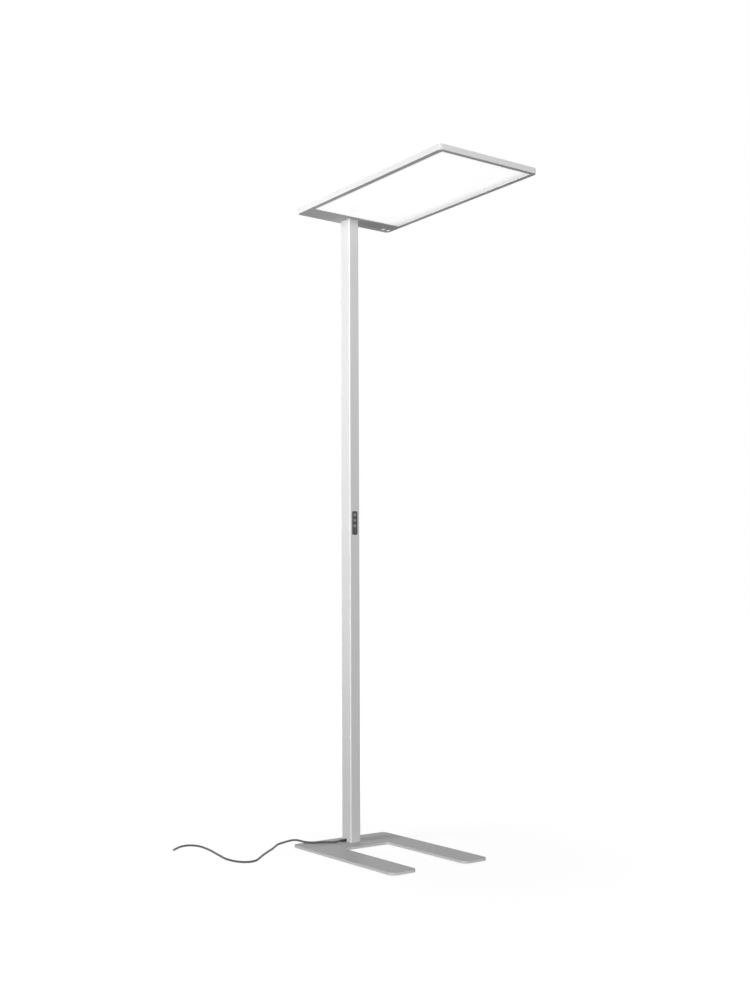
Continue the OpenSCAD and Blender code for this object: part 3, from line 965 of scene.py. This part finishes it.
LAMP_COAT = SatinCoat("lamp_coat")
# The post's coat carries a painted highlight along its four upright corners, at level 230.
POST_COAT = SatinCoat("post_coat", specular=0.06, corners=(24.25 * MM, 18.25 * MM, 4 * MM, 230))
# The base's coat is painted lighter on the plate's sides (level 213, below 9.4 mm) than on its top
# (level 161), as the light falls on them more.
BASE_COAT = SatinCoat(
    "base_coat",
    level=161,
    roughness=0.38,
    specular=0.03,
    peel=5.0e-5,
    grain=700,
    rim=(9.4 * MM, 213),
)
ALUMINIUM = BareMetal("bare_aluminium_sheet", level=208)
SCREW_STEEL = BareMetal("zinc_screw", level=196, roughness=0.28, stretch=(12.0, 12.0, 12.0))
PAD_RUBBER = Rubber("pad_rubber_black", level=44)
GLAND_RUBBER = Rubber("gland_rubber_dark", level=62, roughness=0.55)
CORD_SHEATH = Rubber("cord_sheath_grey", level=84, roughness=0.5)
LEAD_BLACK = Rubber("lead_insulation", level=40, roughness=0.5)
PANEL_DARK = MouldedPlastic("panel_plastic_dark", level=64)
BUTTON_GREY = MouldedPlastic("button_plastic_grey", level=140, roughness=0.4)
WINDOW_SMOKE = MouldedPlastic("window_smoked", level=96, roughness=0.12, depth=5.0e-6)
SWITCH_BLACK = MouldedPlastic("switch_black", level=38, roughness=0.4)
REFLECTOR = MouldedPlastic("reflector_film", level=244, roughness=0.6, depth=1.0e-5)
FOAM = Rubber("backing_foam", level=78, roughness=0.9, grain=1600, depth=3.0e-4)
DRIVER_CASE = MouldedPlastic("driver_case_white", level=226, roughness=0.4)
TERMINAL = MouldedPlastic("terminal_white", level=228, roughness=0.35, warm=2)
LIGHT_GREY = MouldedPlastic("light_pipe_grey", level=205, roughness=0.2, depth=8.0e-6)
BOARD = Board("solder_mask")
GUIDE = ClearSheet("light_guide_acrylic")
DIODES = DiodeBoard("diode_strip_white")


# ---------------------------------------------------------------- the base


@dataclass
class Base:
    """The U-shaped steel plate with its glide pads and screws."""

    corner: float = 18 * MM
    slot_corner: float = 10 * MM
    slot_from: float = POST_AXIS_X + 75 * MM
    slot_half: float = 82.5 * MM
    edge: float = 1.1 * MM
    screw_head: float = 4.3 * MM
    screw_shank: float = 2.15 * MM
    screw_length: float = 24 * MM
    screw_gap: float = 0.1 * MM
    socket: float = 1.4 * MM
    pad_radius: float = 13 * MM
    pad_inset: float = 28 * MM

    def build(self) -> None:
        """Builds the plate, the pads and the screws."""
        self.low, self.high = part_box("base_plate")
        self.cone = self.screw_head - self.screw_shank
        self.plate()
        self.pads()
        self.screws()

    def plate(self) -> None:
        """The plate: a sheet with its slot cut out, raised and rounded."""
        low, high = self.low, self.high
        plate = Bench.sheet("steel_plate", low, high, low.z)
        plate.split((self.slot_from, 0, 0), (1, 0, 0))
        plate.split((0, self.slot_half, 0), (0, 1, 0))
        plate.split((0, -self.slot_half, 0), (0, 1, 0))
        with plate.editing(Pick.FACE):
            plate.choose(
                Pick.FACE, lambda s: s.at.x > self.slot_from and abs(s.at.y) < self.slot_half
            )
            bpy.ops.mesh.delete(type="FACE")
            bpy.ops.mesh.select_all(action="SELECT")
            bpy.ops.mesh.extrude_region_move(
                TRANSFORM_OT_translate={"value": (0, 0, high.z - low.z)}
            )
            plate.turn_outwards()
            bpy.ops.mesh.dissolve_limited(angle_limit=math.radians(1))

        def tip_or_rear(s: Spot) -> bool:
            """True for the upright edges at the legs' tips and at the rear."""
            return upright(s) and not low.x + NEAR <= s.at.x <= high.x - NEAR

        def slot_end(s: Spot) -> bool:
            """True for the upright edges at the slot's closed end."""
            inside = abs(s.at.y) < self.slot_half + NEAR
            return upright(s) and inside and abs(s.at.x - self.slot_from) < NEAR

        plate.round_edges(tip_or_rear, self.corner, 12)
        plate.round_edges(slot_end, self.slot_corner, 10)
        plate.soften(self.edge, 4, 50)
        head, shank = self.screw_head + self.screw_gap, self.screw_shank + self.screw_gap
        plate.drill(
            [(head, -1 * MM), (head, 0), (shank, self.cone), (shank, 10 * MM)],
            [(x, y, low.z) for x, y in CHANNELS],
        )
        plate.hand_over(BASE_COAT.material(), "base_paint", ["base_plate"])

    def pads(self) -> None:
        """Six round glide pads with a shallow dish."""
        low, high = self.low, self.high
        half = (high.y + self.slot_half) / 2
        places = [
            (x, y * side)
            for x, y in (
                (low.x + self.pad_inset, high.y - self.pad_inset),
                (high.x - self.pad_inset, half),
                ((low.x + high.x) / 2, half),
            )
            for side in (1, -1)
        ]
        r = self.pad_radius
        profile = [
            (r * 0.2, 0.25 * MM),
            (r * 0.62, 0.22 * MM),
            (r * 0.72, 0.02 * MM),
            (r - 0.5 * MM, 0.0),
            (r - 0.12 * MM, 0.15 * MM),
            (r, 0.5 * MM),
            (r, low.z),
        ]
        pad = Bench.turned("glide_pads", profile, (*places[0], 0))
        pad.repeat(places)
        pad.hand_over(PAD_RUBBER.material(), "pad_rubber", ["base_pads"])

    def screws(self) -> None:
        """The four countersunk screws with hexagon sockets, heads down."""
        head, shank = self.screw_head, self.screw_shank
        profile = [
            (head - 0.25 * MM, 0.0),
            (head, 0.2 * MM),
            (shank, self.cone),
            (shank, self.screw_length - 0.6 * MM),
            (shank - 0.5 * MM, self.screw_length),
        ]
        place = (*CHANNELS[0], self.low.z)
        screw = Bench.turned("base_plate_screws", profile, place, sides=32)
        screw.drill([(self.socket, -1 * MM), (self.socket, self.cone * 0.7)], [place], sides=6)
        screw.repeat(CHANNELS)
        screw.hand_over(SCREW_STEEL.material(), "screw_steel", ["base_screws"])


# ---------------------------------------------------------------- the post


@dataclass
class Post:
    """The post's profile, with its cut-outs and the cord's gland."""

    wall: float = 2 * MM
    edge: float = 4 * MM
    channel: float = 4 * MM
    bore: float = 2.25 * MM
    panel_half: tuple[float, float] = (10.2 * MM, 36.7 * MM)
    panel_corner: float = 4.2 * MM
    cord_hole: float = 4.3 * MM
    cord_exit: Vec = (POST_AXIS_X - 2 * MM, -18.25 * MM, 15 * MM)
    gland_root: float = 4.2 * MM
    gland_tip: float = 3.4 * MM
    sleeve: float = 20 * MM
    ribs: int = 6

    def build(self) -> None:
        """Builds the profile and the gland."""
        self.low, self.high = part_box("post_tube")
        self.profile()
        self.gland()

    def profile(self) -> None:
        """The rectangular tube with four screw channels inside, and its openings."""
        low, high, w = self.low, self.high, self.wall
        past, ends = 5 * MM, (low.z - 9 * MM, high.z + 9 * MM)
        places = [(x, y, 0) for x, y in CHANNELS]
        tube = rounded_block("post_profile", low, high, self.edge, 10)
        hollow = Bench.block(
            "hollow", (low.x + w, low.y + w, low.z - past), (high.x - w, high.y - w, high.z + past)
        )
        hollow.drill([(self.channel, z) for z in ends], places)
        tube.cut(hollow)
        tube.drill([(self.bore, z) for z in ends], places, sides=24)
        depth = (high.x - w - 0.2 * MM, high.x + 3 * MM)
        tube.cut(face_prism("opening", depth, self.panel_half, self.panel_corner, PANEL_Z))
        x, y, z = self.cord_exit
        hole = [(self.cord_hole, -1 * MM), (self.cord_hole, 4 * MM)]
        tube.drill(hole, [(x, y + 3 * MM, z)], Facing.RIGHT)
        tube.soften(0.25 * MM, 2, 60)
        tube.hand_over(POST_COAT.material(), "lamp_paint", ["post_tube"])

    def gland(self) -> None:
        """The gland with its tapered, ribbed sleeve, turned about the cord."""
        r0, tip, end = self.gland_root, self.gland_tip, self.sleeve
        rings = [
            (r0 - 0.6 * MM, -7 * MM),
            (r0, -6 * MM),
            (r0, 0.02 * MM),
            (r0 + 0.45 * MM, 0.05 * MM),
            (r0 + 0.6 * MM, 0.3 * MM),
            (r0 + 0.6 * MM, 0.75 * MM),
            (r0 + 0.35 * MM, 1.0 * MM),
        ]
        step = (end - 4 * MM) / self.ribs
        for i in range(self.ribs):
            y = 2 * MM + i * step
            r = r0 + (tip - r0) * (y - 1 * MM) / end
            rings += [
                (r - 0.12 * MM, y - 0.35 * MM),
                (r, y),
                (r, y + 0.45 * step),
                (r - 0.15 * MM, y + 0.58 * step),
                (r - 0.55 * MM, y + 0.66 * step),
                (r - 0.55 * MM, y + 0.82 * step),
            ]
        rings += [(tip, end - 0.8 * MM), (tip, end + 0.6 * MM), (tip - 0.3 * MM, end + 1 * MM)]
        piece = Bench.turned("cord_gland_sleeve", rings, self.cord_exit, Facing.RIGHT, 40)
        piece.hand_over(GLAND_RUBBER.material(), "gland_rubber", ["cord_gland"], smooth=50)


# ---------------------------------------------------------------- the panel


@dataclass
class ControlPanel:
    """The dark control panel with three sprung buttons and a window."""

    half: tuple[float, float] = (10 * MM, 36.5 * MM)
    corner: float = 4 * MM
    face: float = POST_AXIS_X + 24.25 * MM
    wall: float = 2 * MM
    body_depth: float = 14 * MM
    body_half: tuple[float, float] = (8.55 * MM, 32.5 * MM)
    button: float = 4.8 * MM
    gap: float = 0.2 * MM
    stem: float = 2 * MM
    stem_end: float = -7.95 * MM
    # The flange that keeps a button in: how far it stands out, its back and front.
    flange: Vec = (0.45 * MM, -3.1 * MM, -2.1 * MM)
    pitch: float = 17 * MM
    first: float = 11 * MM
    proud: float = 0.5 * MM
    dome: float = 24 * MM
    window_half: tuple[float, float] = (5 * MM, 2 * MM)
    window_drop: float = 13 * MM
    window_depth: float = 1.2 * MM

    def build(self) -> None:
        """Builds the bezel, its housing, the buttons and the window."""
        top = PANEL_Z + self.half[1] - self.first
        self.places = [(self.face, 0, top - index * self.pitch) for index in range(3)]
        self.window_z = self.places[-1][2] - self.window_drop
        self.bezel()
        self.housing()
        for name, place in zip(("brighter", "power", "dimmer"), self.places):
            self.cap(name, place)
        self.window()

    def bezel(self) -> None:
        """The panel's front, with wells for the buttons and the window."""
        face, well = self.face, self.button + self.gap
        bezel = face_prism("panel_bezel", (face - self.wall, face), self.half, self.corner, PANEL_Z)
        bezel.drill([(well, -5 * MM), (well, 2 * MM)], self.places, Facing.FORWARD, 48)
        depth = (face - self.window_depth, face + 1 * MM)
        bezel.cut(face_prism("seat", depth, self.window_half, 1 * MM, self.window_z))
        bezel.soften(0.35 * MM, 3, 50)
        bezel.hand_over(PANEL_DARK.material(), "panel_dark", ["control_housing"])

    def housing(self) -> None:
        """The box behind the bezel, open at the back for the board."""

        def block(name: str, x0: float, x1: float, half_w: float, half_h: float) -> Bench:
            """A plain block about the panel's middle."""
            low, high = (x0, -half_w, PANEL_Z - half_h), (x1, half_w, PANEL_Z + half_h)
            return Bench.block(name, low, high)

        back, front = self.face - self.body_depth, self.face - self.wall
        w, h = self.body_half
        box = block("panel_housing", back, front, w, h)
        box.cut(
            block("room", back - 1 * MM, front - 4.7 * MM, w - 1.6 * MM, h - 2.4 * MM),
            block("seat", back - 1 * MM, back + 2 * MM, w - 1 * MM, h - 1.4 * MM),
        )
        room, guide = self.button + 0.7 * MM, self.stem + 0.08 * MM
        flange_room = [(room, -4.2 * MM), (room, -1 * MM)]
        stem_guide = [(guide, -9 * MM), (guide, -3 * MM)]
        for place in self.places:
            box.drill(flange_room, [place], Facing.FORWARD, 48)
            box.drill(stem_guide, [place], Facing.FORWARD, 24)
        box.soften(0.2 * MM, 2, 60)
        box.hand_over(PANEL_DARK.material(), "panel_dark", ["control_housing"])

    def cap(self, name: str, place: Vec) -> None:
        """One button: its stem, its flange and its domed cap.

        Args:
            name: what it does.
            place: where its axis meets the panel's face.
        """
        r, stem, end = self.button, self.stem, self.stem_end
        out, back, front = self.flange
        shoulder = self.proud - r * r / (2 * self.dome)
        rings = [
            (stem - 0.3 * MM, end),
            (stem, end + 0.3 * MM),
            (stem, back),
            (r + out, back),
            (r + out, front),
            (r, front),
            (r, shoulder - 0.45 * MM),
            (r - 0.06 * MM, shoulder - 0.28 * MM),
            (r - 0.2 * MM, shoulder - 0.12 * MM),
            (r - 0.42 * MM, shoulder),
        ]
        for q in (r * 0.8, r * 0.62, r * 0.4, r * 0.15):
            rings.append((q, self.proud - q * q / (2 * self.dome)))
        body = f"button_{name}_cap"
        piece = Bench.turned(f"{body}_piece", rings, place, Facing.FORWARD)
        piece.hand_over(BUTTON_GREY.material(), "button_grey", [f"button_{name}"], body, 40)

    def window(self) -> None:
        """The smoked window over the status light."""
        fit = 0.05 * MM
        half = [side - fit for side in self.window_half]
        depth = (self.face - self.window_depth, self.face)
        pane = face_prism("status_window", depth, half, 1 * MM - fit, self.window_z)
        pane.soften(0.25 * MM, 3, 50)
        pane.hand_over(WINDOW_SMOKE.material(), "window_smoke", ["panel_window"])


# ---------------------------------------------------------------- the head


@dataclass
class Head:
    """The flat light head: tray, diffuser, cover and sensor."""

    corner: float = 12.5 * MM
    wall: float = 1.6 * MM
    ledge: float = 5 * MM
    lip: float = 1.5 * MM
    rim_side: float = 16 * MM
    rim_front: float = 14 * MM
    rear_band: float = 78 * MM
    overlap: float = 6 * MM
    divider: float = 2.5 * MM
    cover_t: float = 1.5 * MM
    fit: float = 0.2 * MM
    edge: float = 0.7 * MM
    room_corner: float = 2 * MM
    lens_inset: tuple[float, float] = (24 * MM, 25 * MM)
    lens_radius: float = 6 * MM
    lens_gap: float = 20 * MM
    lens_dome: float = 1.4 * MM
    light_radius: float = 2 * MM
    screws_per_side: int = 4
    screw_end: float = 20 * MM
    screw_head: float = 2.2 * MM
    screw_shank: float = 1.25 * MM
    screw_gap: float = 0.1 * MM
    screw_length: float = 5.95 * MM
    screw_socket: float = 0.85 * MM
    channel_hole: float = 2.25 * MM
    flange_t: float = 4 * MM
    lead_hole: tuple[float, float] = (POST_AXIS_X + 2.525 * MM, 9.325 * MM)

    def build(self) -> None:
        """Builds the tray, the diffuser, the cover and the sensor."""
        self.low, self.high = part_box("head_frame")
        self.window = (
            self.low.x + self.rear_band,
            self.high.x - self.rim_front,
            self.high.y - self.rim_side,
        )
        self.tray()
        self.diffuser()
        self.cover()
        self.sensor()

    def lens_places(self) -> list[tuple[float, float]]:
        """The middles of the two lenses."""
        x, y = self.low.x + self.lens_inset[0], self.high.y - self.lens_inset[1]
        return [(x, y + side * self.lens_gap / 2) for side in (-1, 1)]

    def light_places(self) -> list[tuple[float, float]]:
        """The middles of the three small lights."""
        (x, y0), (_, y1) = self.lens_places()
        return [(x + 25 * MM, y0), (x + 25 * MM, y1), (x - 6 * MM, y0 - 20 * MM)]

    def screw_places(self) -> list[tuple[float, float]]:
        """The middles of the cover's screws."""
        inset = self.wall + self.ledge / 2
        x0 = self.low.x + inset + self.screw_end
        x1 = self.high.x - inset - self.screw_end
        y = self.high.y - inset
        step = (x1 - x0) / (self.screws_per_side - 1)
        return [(x0 + i * step, s * y) for i in range(self.screws_per_side) for s in (-1, 1)]

    def tray(self) -> None:
        """The tray: a rounded block, hollowed and opened underneath."""
        low, high, wall = self.low, self.high, self.wall
        inset = wall + self.ledge
        cover_z, floor_z = high.z - self.cover_t, low.z + self.lip
        lamp_x = low.x + self.rear_band - self.overlap - self.fit
        x0, x1, half = self.window
        y = high.y - inset
        tray = rounded_block("head_tray", low, high, self.corner, 10)
        tray.soften(self.edge, 4, 60)
        tray.cut(
            rounded_block(
                "recess",
                (low.x + wall, low.y + wall, cover_z),
                (high.x - wall, high.y - wall, high.z + 5 * MM),
                self.corner - wall,
            )
        )
        for ends in ((lamp_x, high.x - inset), (low.x + inset, lamp_x - self.divider)):
            room = ((ends[0], -y, floor_z), (ends[1], y, high.z))
            tray.cut(rounded_block("room", *room, self.room_corner, 4))
        opening = ((x0, -half, low.z - 5 * MM), (x1, half, floor_z + 1 * MM))
        tray.cut(rounded_block("window", *opening, 2 * MM, 6))
        holes = [(place, self.lens_radius + self.fit) for place in self.lens_places()]
        holes += [(place, self.light_radius + self.fit) for place in self.light_places()]
        holes += [((self.lead_hole[0], 0.0), self.lead_hole[1])]
        holes += [(place, self.channel_hole) for place in CHANNELS]
        for place, r in holes:
            tray.drill([(r, -3 * MM), (r, 3 * MM)], [(*place, low.z)], sides=40)
        r = self.screw_shank + self.screw_gap
        places = [(*place, cover_z) for place in self.screw_places()]
        tray.drill([(r, -8 * MM), (r, 1 * MM)], places, sides=20)
        tray.hand_over(LAMP_COAT.material(), "lamp_paint", ["head_frame"])

    def diffuser(self) -> None:
        """The opal diffuser, with a hairline step where it meets the lip."""
        pane = rounded_block("opal_diffuser", *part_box("diffuser"), 2 * MM, 4)
        pane.soften(0.3 * MM, 2, 60)
        x0, x1, y = self.window
        finish = OpalPanel("opal_panel", low=(x0, -y, 0.0), high=(x1, y, 0.0))
        pane.hand_over(finish.material(), "diffuser_opal", ["diffuser"])

    def cover(self) -> None:
        """The top cover with its countersunk screws."""
        low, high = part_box("top_cover")
        corner = self.corner - self.wall - self.fit
        lid = rounded_block("top_cover_sheet", low, high, corner)
        lid.soften(0.35 * MM, 3, 60)
        places = [(*place, high.z) for place in self.screw_places()]
        head, shank, end = self.screw_head, self.screw_shank, self.screw_length
        wide, bore, cone = head + self.screw_gap, shank + self.screw_gap, head - shank
        countersink = [(wide, -1 * MM), (wide, 0), (bore, cone), (bore, 3 * MM)]
        lid.drill(countersink, places, Facing.DOWN, 28)
        lid.hand_over(LAMP_COAT.material(), "lamp_paint", ["top_cover"])
        profile = [
            (head - 0.2 * MM, 0.0),
            (head, 0.15 * MM),
            (shank, cone),
            (shank, end - 0.75 * MM),
            (shank - 0.45 * MM, end),
        ]
        screw = Bench.turned("cover_screw_set", profile, places[0], Facing.DOWN, 28)
        socket = [(self.screw_socket, -1 * MM), (self.screw_socket, cone * 0.7)]
        screw.drill(socket, places[:1], Facing.DOWN, 6)
        screw.repeat(self.screw_places())
        screw.hand_over(SCREW_STEEL.material(), "screw_steel", ["cover_screws"])

    def sensor(self) -> None:
        """Two domed lenses and three small lights in the rear band."""
        dome, r = self.lens_dome, self.lens_radius
        ball = (r * r + dome * dome) / (2 * dome)
        lip, top = self.lip, self.lip + self.flange_t
        rings = [(r + 1 * MM, top), (r + 1 * MM, lip), (r, lip), (r, 0.0)]
        rounds = [math.cos((k + 1) * math.pi / 17) for k in range(7)]
        for q in (r * part for part in (*rounds, 0.14, 0.02)):
            rings.append((q, ball - dome - math.sqrt(ball * ball - q * q)))
        places = self.lens_places()
        lens = Bench.turned("sensor_lens_pair", rings, (*places[0], self.low.z))
        lens.repeat(places)
        finish = MilkyLens("sensor_lens_milky", centres=tuple(places))
        lens.hand_over(finish.material(), "lens_white", ["sensor_lenses"], smooth=40)
        r = self.light_radius
        rings = [
            (r + 0.8 * MM, top),
            (r + 0.8 * MM, lip),
            (r, lip),
            (r, -0.1 * MM),
            (r - 0.1 * MM, -0.22 * MM),
            (r - 0.35 * MM, -0.3 * MM),
            (r * 0.1, -0.3 * MM),
        ]
        places = self.light_places()
        light = Bench.turned("sensor_light_set", rings, (*places[0], self.low.z), sides=32)
        light.repeat(places)
        light.hand_over(LIGHT_GREY.material(), "light_grey", ["sensor_lights"])


# ---------------------------------------------------------------- the cord

# The route's points, in millimetres about the post's axis.
CORD_ROUTE: list[Vec] = [
    (-2, -39.25, 15), (-2, -50, 13.9), (-6, -61, 13.1), (-14, -73, 13.1), (-23, -86, 13.1),
    (-30, -101, 13.1), (-38, -115, 13.1), (-52, -127, 13.1), (-67, -134, 14), (-81, -138, 15.2),
    (-94, -141, 14.8), (-107, -146, 12.6), (-117, -154, 9.4), (-123, -165, 6.1), (-124, -178, 3.9),
    (-118, -191, 3.1), (-106, -203, 3.1), (-90, -219, 3.1), (-72, -237, 3.1), (-50, -262, 3.1),
    (-26, -289, 3.1), (0, -316, 3.1), (25, -341, 3.1), (44, -363, 3.1), (48, -386, 3.1),
    (34, -405, 3.1), (6, -416, 3.1), (-30, -418, 3.1), (-75, -411, 3.1), (-120, -403, 3.1),
    (-165, -395, 3.1), (-205, -391, 3.1), (-240, -392, 3.1), (-264, -402, 3.1), (-273, -421, 3.1),
    (-265, -444, 3.1), (-251, -462, 3.1), (-236, -480, 3.1),
]


@dataclass
class MainsCord:
    """The grey mains cord, from the gland to its cut end."""

    diameter: float = 6 * MM
    length: float = 0.9
    core: float = 1.1 * MM
    strand: float = 0.55 * MM
    spread: float = 1.35 * MM

    def points(self) -> list[Vector]:
        """The route in metres, in the frame's own axes."""
        return [Vector((x * MM + POST_AXIS_X, y * MM, z * MM)) for x, y, z in CORD_ROUTE]

    def cores(self, at: Vector, run: Vector) -> bpy.types.Object:
        """The three cores that show at the cut end.

        Args:
            at: where the sheath ends.
            run: the way in which the cord leads there.

        Returns:
            The finished object.
        """
        rings = [
            (self.core, -2 * MM),
            (self.core, 0.85 * MM),
            (self.core - 0.1 * MM, 1 * MM),
            (self.strand, 1.02 * MM),
            (self.strand, 1.7 * MM),
            (self.strand * 0.7, 1.85 * MM),
        ]
        side, up = Vector((-run.y, run.x, 0.0)), Vector((0, 0, 1))
        places = [
            at + side * (self.spread * math.sin(turn)) + up * (self.spread * math.cos(turn))
            for turn in (0.0, math.tau / 3, -math.tau / 3)
        ]
        first = Bench.turned("cord_cores", rings, (0, 0, 0), Facing.FORWARD, 20)
        first.obj.rotation_euler = (0.0, 0.0, math.atan2(run.y, run.x))
        first.obj.location = places[0]
        first.settle()
        first.gather([first.copy_to("core_copy", place - places[0]) for place in places[1:]])
        finish = CoreEnds("cut_cores", at=tuple(at), way=tuple(run), side=tuple(side))
        return first.hand_over(finish.material(), "cord_grey")

    def build(self) -> None:
        route = self.points()
        curve = bpy.data.curves.new("mains_cord_sheath", "CURVE")
        curve.dimensions = "3D"
        curve.resolution_u = 6
        curve.bevel_depth = self.diameter / 2
        curve.bevel_resolution = 5
        curve.use_fill_caps = True
        spline = curve.splines.new("BEZIER")
        spline.bezier_points.add(len(route) - 1)
        for index, (knot, here) in enumerate(zip(spline.bezier_points, route)):
            before, after = route[max(0, index - 1)], route[min(len(route) - 1, index + 1)]
            run = (after - before).normalized()
            knot.co = here
            knot.handle_left_type = knot.handle_right_type = "FREE"
            knot.handle_left = here - run * (here - before).length / 3
            knot.handle_right = here + run * (after - here).length / 3
        cord = bpy.data.objects.new("mains_cord_sheath", curve)
        bpy.context.scene.collection.objects.link(cord)
        curve.materials.append(CORD_SHEATH.material())
        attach(cord, "lamp")
        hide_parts("mains_cord")
        cores = self.cores(route[-1], (route[-1] - route[-2]).normalized())
        LOG.info("mains_cord_sheath: %d points", len(route))


# ---------------------------------------------------------------- inner nodes


@dataclass
class InnerParts:
    """Finishes for the frame's own nodes that stay as they are."""

    finishes: dict[str, Finish] = field(
        default_factory=lambda: {
            "control_board": BOARD,
            "tact_switches": SWITCH_BLACK,
            "control_lead": LEAD_BLACK,
            "mains_lead": LEAD_BLACK,
            "head_bracket": ALUMINIUM,
            "head_screws": SCREW_STEEL,
            "lead_grommet": GLAND_RUBBER,
            "light_guide": GUIDE,
            "reflector_sheet": REFLECTOR,
            "heat_plate": ALUMINIUM,
            "backing_pad": FOAM,
            "led_strip_near": DIODES,
            "led_strip_far": DIODES,
            "driver": DRIVER_CASE,
            "driver_screws": SCREW_STEEL,
            "terminal_block": TERMINAL,
            "sensor_board": BOARD,
        }
    )

    def build(self) -> None:
        """Puts each finish on its node's own material slots."""
        for name, finish in self.finishes.items():
            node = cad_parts[name]
            if not node.material_slots:
                node.data.materials.append(finish.material())
            for slot in node.material_slots:
                slot.material = finish.material()
            LOG.info("%s: finish %s", name, finish.name)


# ---------------------------------------------------------------- the studio


@dataclass
class Lamp:
    """One soft area lamp of the studio."""

    name: str
    place: Vec
    aim: Vec
    size: tuple[float, float]
    power: float

    def build(self) -> None:
        """Adds the lamp and turns it towards its aim."""
        bpy.ops.object.select_all(action="DESELECT")
        bpy.ops.object.light_add(type="AREA", location=self.place)
        lamp = bpy.context.active_object
        lamp.name = self.name
        lamp.data.shape = "RECTANGLE"
        lamp.data.size, lamp.data.size_y = self.size
        lamp.data.energy = self.power
        lamp.visible_camera = False
        towards = Vector(self.aim) - Vector(self.place)
        lamp.rotation_euler = towards.to_track_quat("-Z", "Y").to_euler()
        LOG.info("%s: %.0f W", self.name, self.power)


@dataclass
class Studio:
    """Camera, floor, white surroundings and soft lamps."""

    eye: Vec = (2.91766, -2.24513, 0.75070)
    yaw: float = 0.9428
    pitch: float = 0.0762
    roll: float = -0.0044
    lens: float = 45.64
    ambient: float = 0.15
    floor_level: float = 112.0
    # How bright the floor looks by itself near the lamp and far from it, and
    # from where to where it changes. The shadow shows faintly near the lamp.
    lift: tuple[float, float] = (0.86, 1.0)
    fade: tuple[float, float] = (0.3, 1.8)
    lamps: list[Lamp] = field(
        default_factory=lambda: [
            Lamp("front_lamp", (3.578, -2.821, 1.4), (-0.3, 0.0, 1.1), (1.2, 2.0), 136.0),
            Lamp("left_lamp", (-0.45, -1.95, 1.85), (-0.3, 0.0, 1.75), (0.8, 0.8), 30.0),
            Lamp("right_lamp", (2.293, 0.091, 2.4), (-0.3, 0.0, 1.6), (1.0, 1.0), 13.0),
            Lamp("low_lamp", (-0.5, -1.2, 0.7), (-0.1, 0.0, 1.93), (0.5, 0.5), 2.5),
            Lamp("rear_lamp", (-2.9, 0.4, 2.2), (-0.3, 0.0, 1.2), (0.8, 0.8), 19.0),
            Lamp("far_lamp", (-0.2, 2.7, 2.2), (-0.2, 0.0, 1.2), (1.0, 0.8), 16.0),
            Lamp("top_lamp", (0.0, 0.0, 3.4), (0.0, 0.0, 1.95), (0.6, 0.5), 4.0),
        ]
    )

    def build(self) -> None:
        """Builds the camera, the surroundings and the lamps."""
        self.camera()
        self.surroundings()
        self.floor()
        for lamp in self.lamps:
            lamp.build()

    def camera(self) -> None:
        """The camera, where the photograph was taken from."""
        bpy.ops.object.select_all(action="DESELECT")
        bpy.ops.object.camera_add(location=self.eye)
        camera = bpy.context.active_object
        camera.name = "camera"
        turn = (
            Matrix.Rotation(self.yaw, 4, "Z")
            @ Matrix.Rotation(math.pi / 2 + self.pitch, 4, "X")
            @ Matrix.Rotation(self.roll, 4, "Z")
        )
        camera.matrix_world = Matrix.Translation(self.eye) @ turn
        camera.data.sensor_fit = "VERTICAL"
        camera.data.sensor_height = 36.0
        camera.data.lens = self.lens
        camera.data.clip_end = 60.0
        bpy.context.scene.camera = camera

    def seen(self, recipe: Recipe) -> Wire:
        """1 for rays that show the surroundings rather than light by them."""
        path = recipe.add("ShaderNodeLightPath", output="Is Camera Ray")
        node = path.socket.node
        glossy = Wire(recipe, node.outputs["Is Glossy Ray"])
        through = Wire(recipe, node.outputs["Is Transmission Ray"])
        return path.at_least(glossy).at_least(through)

    def surroundings(self) -> None:
        """White surroundings that light the lamp more softly than they look."""
        world = bpy.data.worlds.new("studio")
        bpy.context.scene.world = world
        world.use_nodes = True
        recipe = Recipe(world.node_tree)
        soft, white = (
            recipe.add("ShaderNodeBackground", None, {"Color": (1, 1, 1, 1), "Strength": strength})
            for strength in (self.ambient, 1.0)
        )
        both = recipe.add("ShaderNodeMixShader", None, {0: self.seen(recipe), 1: soft, 2: white})
        out = world.node_tree.nodes.new("ShaderNodeOutputWorld")
        world.node_tree.links.new(both.socket, out.inputs["Surface"])

    def floor(self) -> None:
        """A plain floor that looks white and keeps a faint shadow of the lamp."""
        floor = Bench.sheet("studio_floor", (-30, -30), (30, 30), 0.0)
        floor.obj.data.materials.clear()
        made = bpy.data.materials.new("studio_floor")
        made.use_nodes = True
        recipe = Recipe(made.node_tree)
        spot = recipe.place()
        cloud = recipe.noise(spot, 1.5, 2.0)
        tint = recipe.mix(cloud, shade(self.floor_level - 2), shade(self.floor_level + 2))
        matt = {"Base Color": tint, "Roughness": 0.9, "Specular IOR Level": 0.0}
        x, y, _ = recipe.axes(spot)
        away = ((x * x + y * y) ** 0.5).span(*self.fade)
        near, far = self.lift
        level = away * (far - near) + near
        glow = recipe.add("ShaderNodeCombineColor", None, {0: level, 1: level, 2: level})
        plain = recipe.surface(matt)
        lifted = recipe.surface(matt | {"Emission Color": glow, "Emission Strength": 1.0})
        both = recipe.add("ShaderNodeMixShader", None, {0: self.seen(recipe), 1: plain, 2: lifted})
        recipe.close(both)
        floor.obj.data.materials.append(made)


def main() -> None:
    """Builds the lamp's looks, sub-assembly by sub-assembly."""
    logging.basicConfig(level=logging.INFO, format="%(message)s")
    bpy.context.scene.view_settings.view_transform = "Standard"
    parts = (Studio(), MainsCord(), Base(), Post(), ControlPanel(), Head(), InnerParts())
    for part in parts:
        part.build()


if __name__ == "__main__":
    main()
